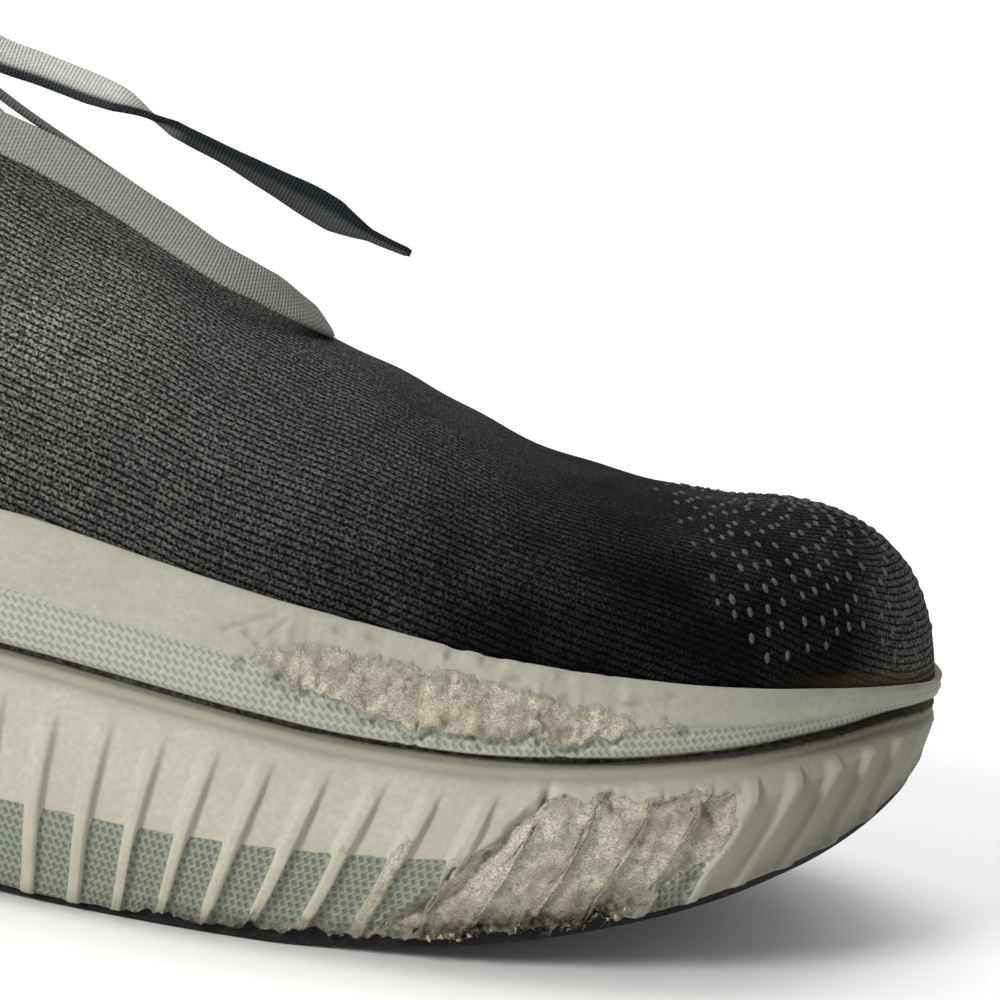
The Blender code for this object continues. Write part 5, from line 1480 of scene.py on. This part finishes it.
def laced_part(finish):
    """The lace through the holes: a bar across the lowest pair, crossings above, two leads to the knot."""
    meshes = []

    def strand(path, faces, widths):
        line = smooth_route([tuple(p) for p in path])
        meshes.append(ribbon("strand", line, faces, widths)[0])

    runs = [(EYELET_STATIONS[0], EYELET_STATIONS[0], 1)]
    for low, high in zip(EYELET_STATIONS, EYELET_STATIONS[1:]):
        runs += [(low, high, 1), (low, high, -1)]
    for start, end, way in runs:
        path = []
        faces = []
        for k in range(11):
            t = k / 10
            across = t if way > 0 else 1 - t
            place, normal = instep(start + (end - start) * t, across, EYELET_SETBACK)
            rise = 0.0009 + (0.0016 * math.sin(math.pi * t) if way < 0 else 0.0)
            rise -= (0.0034 if k in (0, 10) else 0.0)
            path.append(place + normal * rise)
            faces.append((t, tuple(normal)))
        strand(path, faces, ((0.0, 0.5), (0.07, 0.62), (0.16, 1.0), (0.84, 1.0), (0.93, 0.62), (1.0, 0.5)))
    for side in (-1, 1):
        place, normal = eyelet(side, EYELET_STATIONS[-1])
        goal = Vector(KNOT_CENTRE) + Vector((-0.001, 0.0045 * side, -0.001))
        middle = (place + goal) / 2 + normal * 0.002
        path = [place - normal * 0.0025, place + normal * 0.0012, middle, goal]
        faces = [(0.0, tuple(normal)), (1.0, (0.0, side * 0.3, 1.0))]
        strand(path, faces, ((0.0, 0.5), (0.2, 0.7), (0.5, 0.95), (1.0, 0.8)))
    bm = bmesh.new()
    for mesh in meshes:
        bm.from_mesh(mesh)
        bpy.data.meshes.remove(mesh)
    joined = bpy.data.meshes.new("laced_part")
    bm.to_mesh(joined)
    bm.free()
    joined.shade_smooth()
    piece("laced_part", joined, finish, "lace", "lace_bars")


def pick(random, weight, count):
    """Places in a grid, picked by weight."""
    chance = weight.ravel() / weight.sum()
    return np.unravel_index(random.choice(chance.size, count, p=chance), weight.shape)


def foam_fibres(name, rings, weight, count, finish, slot, seed):
    """Many short bent fibres joined in one mesh, each of three flat runs, picked by weight."""
    random = np.random.default_rng(seed)
    at = pick(random, weight, count)
    lengths = random.gamma(2.0, 0.00022, count) + 0.0002
    random = np.random.default_rng(seed + 1)
    points = []
    faces = []
    for spot, normal, size in zip(rings[at], grid_normals(rings, True)[at], lengths):
        way = unit(FIBRE_DRIFT + random.normal(0, 0.55, 3) + normal * random.uniform(0.15, 0.9))
        bend = random.normal(0, 0.45, 3)
        wide = unit(np.cross(way, normal + random.normal(0, 0.3, 3)))
        base = len(points)
        for k in range(4):
            t = k / 3
            centre = spot + way * size * t + bend * size * t * t * 0.6 - normal * 0.0001
            thick = FIBRE_RADIUS * (1.0 - 0.75 * t)
            points += [centre + wide * thick, centre - wide * thick]
        faces += [(a, a + 1, a + 3, a + 2) for a in range(base, base + 6, 2)]
    piece(name, plain_mesh(name, points, faces), finish, slot)


def flakes(name, spots, normals, sizes, finish, slot, seed):
    """Small torn scraps of foam, joined in one mesh: each an uneven curled plate."""
    random = np.random.default_rng(seed)
    bm = bmesh.new()
    for spot, normal, size in zip(spots, normals, sizes):
        made = bmesh.ops.create_icosphere(bm, subdivisions=2, radius=1.0)
        turn = Vector(normal).to_track_quat("Z", "Y").to_matrix()
        spin = Matrix.Rotation(random.uniform(0, 6.28), 3, "Z")
        scale = np.array([1.0, random.uniform(0.45, 0.8), random.uniform(0.22, 0.4)]) * size
        shift = random.uniform(0, 9, 3)
        for vertex in made["verts"]:
            lump = 1 + 0.38 * noise(np.array(vertex.co) + shift, 0.7, seed)
            local = Vector(np.array(vertex.co) * scale * lump)
            vertex.co = Vector(spot) + turn @ (spin @ local)
    mesh = bpy.data.meshes.new(name)
    bm.to_mesh(mesh)
    bm.free()
    mesh.shade_smooth()
    for field, value in (("zone", -0.001), ("torn", 1.0), ("dirt_and_shade", 0.12)):
        layer = mesh.attributes.new(field, "FLOAT", "POINT")
        layer.data.foreach_set("value", np.full(len(mesh.vertices), value))
    mesh.uv_layers.new(name="metres")
    piece(name, mesh, finish, slot)


def toe_dots(rings, normals, arc, finish):
    """Raised pale stitches over the toe box, in staggered rows, joined in one mesh."""
    points = []
    faces = []
    lines = distances(rings[::-1], 0)[::-1]
    columns = rings.shape[1]
    for number in range(columns):
        line = rings[3:, number]
        if line[0, 0] < 0.08:
            continue
        place = arc[number] / TOE_DOT_PITCH
        nearest = round(place)
        step_size = abs(arc[number] - arc[(number + 1) % columns])
        if abs(place - nearest) * TOE_DOT_PITCH > min(step_size, 0.002) / 2:
            continue
        run = lines[3:, number]
        for k in range(1, 22):
            want = (k + 0.5 * (nearest % 2)) * TOE_DOT_ROW
            if want > run[0] - 0.004:
                break
            row = int(np.abs(run - want).argmin())
            centre = line[row]
            limit = 0.1 + 0.9 * max(0.0, 0.071 - centre[2])
            wobble = 0.003 * noise(centre[None], 0.004, 5)[0]
            if centre[0] < limit + wobble or noise(centre[None], 0.0021, 15)[0] < -0.52:
                continue
            normal = normals[3 + row, number]
            ahead = unit(np.cross(normal, (0.0, 0.0, 1.0)))
            up = np.cross(ahead, normal)
            size = 0.00066 + 0.00018 * noise(centre[None], 0.003, 8)[0]
            slip = ahead * noise(centre[None], 0.0024, 18)[0] + up * noise(centre[None], 0.0024, 19)[0]
            centre = centre + slip * 0.0009
            base = len(points)
            for share, lift in ((1.0, -0.00005), (0.75, 0.00014), (0.35, 0.00022)):
                for angle in np.arange(8) * math.pi / 4:
                    flat = ahead * math.cos(angle) * 0.75 + up * math.sin(angle) * 1.3
                    points.append(centre + flat * size * share + normal * lift)
            for low in (base, base + 8):
                for turn in range(8):
                    after = (turn + 1) % 8
                    faces.append((low + turn, low + after, low + 8 + after, low + 8 + turn))
            faces.append(tuple(range(base + 16, base + 24)))
    piece("toe_stitches", plain_mesh("toe_stitches", points, faces), finish, "knit")


def plain_finish(name, colour):
    f = Finish(name, 0.9)
    grain = f.lumps(0.0006, 3.0)
    mixed = f.mix(f.step(grain, 0.35, 0.65), shaded(colour, 0.75), shaded(colour))
    return f.finish(mixed, grain, 0.00012)


def camera():
    """The photo's angle: low, from the outer side, rolled so that the toe hangs down."""
    ahead = Vector((0.0, math.cos(CAMERA_RISE), -math.sin(CAMERA_RISE)))
    level = Vector((0.0, math.sin(CAMERA_RISE), math.cos(CAMERA_RISE)))
    side = Vector((1.0, 0.0, 0.0))
    right = side * math.cos(CAMERA_ROLL) + level * math.sin(CAMERA_ROLL)
    up = -side * math.sin(CAMERA_ROLL) + level * math.cos(CAMERA_ROLL)
    data = bpy.data.cameras.new("camera")
    data.sensor_width = 36.0
    data.lens = CAMERA_LENS
    data.clip_start = 0.01
    made = placed("camera", data)
    turn = Matrix((right, up, -ahead)).transposed().to_4x4()
    made.matrix_world = Matrix.Translation(CAMERA_PLACE) @ turn
    bpy.context.scene.camera = made


def lamp(name, place, target, size, power, colour):
    data = bpy.data.lights.new(name, "AREA")
    data.shape = "SQUARE"
    data.size = size
    data.energy = power
    data.color = colour
    way = Vector(target) - Vector(place)
    turn = way.to_track_quat("-Z", "Y").to_matrix().to_4x4()
    placed(name, data).matrix_world = Matrix.Translation(place) @ turn


def studio():
    """A white sheet that runs from the floor up the back, one soft key from the left, soft top light."""
    bend = np.linspace(0.05, math.pi / 2, 16)
    depth = np.concatenate([np.linspace(-2.5, 1.2, 30), 1.2 + 0.8 * np.sin(bend), [2.0]])
    rise = np.concatenate([np.zeros(30), 0.8 * (1 - np.cos(bend)), [3.0]])
    wide = np.linspace(-3.0, 3.0, 30)
    points = np.stack(np.broadcast_arrays(wide[None], depth[:, None], rise[:, None] + FLOOR_LEVEL), -1)
    sheet = placed("floor", grid_mesh("floor", points, closed=False))
    pale = bpy.data.materials.new("white_sheet")
    pale.use_nodes = True
    shader = pale.node_tree.nodes["Principled BSDF"]
    shader.inputs["Base Color"].default_value = (0.93, 0.93, 0.93, 1.0)
    shader.inputs["Roughness"].default_value = 0.95
    sheet.data.materials.append(pale)
    world = bpy.data.worlds.new("pale_sky")
    world.use_nodes = True
    sky = world.node_tree.nodes["Background"]
    sky.inputs["Color"].default_value = (1.0, 1.0, 1.0, 1.0)
    sky.inputs["Strength"].default_value = SKY_STRENGTH
    bpy.context.scene.world = world
    for row in LAMPS:
        lamp(*row)
    bpy.context.scene.view_settings.view_transform = "Standard"


def main():
    camera()
    lace = lace_finish()
    free_laces(lace)
    knot(lace)
    laced_part(lace)

    rim = foam_finish("rim_foam", *RIM_COLOURS, 0.0, 0.15)
    lower = foam_finish("lower_foam", *LOWER_COLOURS, 0.35, 0.21)
    knit = knit_finish("charcoal_knit", *KNIT_COLOURS)
    tongue_knit = knit_finish("tongue_knit", *TONGUE_COLOURS)
    rim_rings, rim_torn = rim_foam(rim)
    low_rings, low_torn = lower_foam(lower)
    rings, normals, side, share = upper(knit, tongue_knit)
    tongue(tongue_knit)
    insole(cloth_finish("insole_cloth", *INSOLE_COLOURS, 0.0016))
    toe_dots(rings, normals, ring_arc(side, share), plain_finish("pale_yarn", STITCH_COLOUR))

    fibre = plain_finish("foam_fibre", FIBRE_COLOUR)
    foam_fibres("rim_fibres", rim_rings, rim_torn**2 + 1e-9, RIM_FIBRES, fibre, "rim_foam", 11)
    foam_fibres("torn_fibres", low_rings, low_torn**2 + 1e-9, TORN_FIBRES, fibre, "lower_foam", 23)

    random = np.random.default_rng(5)
    at = pick(random, low_torn * (1 - low_torn) + 1e-9, SCRAPS)
    sizes = random.uniform(0.0002, 0.0006, SCRAPS)
    flakes("foam_scraps", low_rings[at], grid_normals(low_rings, True)[at], sizes, lower, "lower_foam", 3)

    outsole(rubber_finish())
    studio()


main()
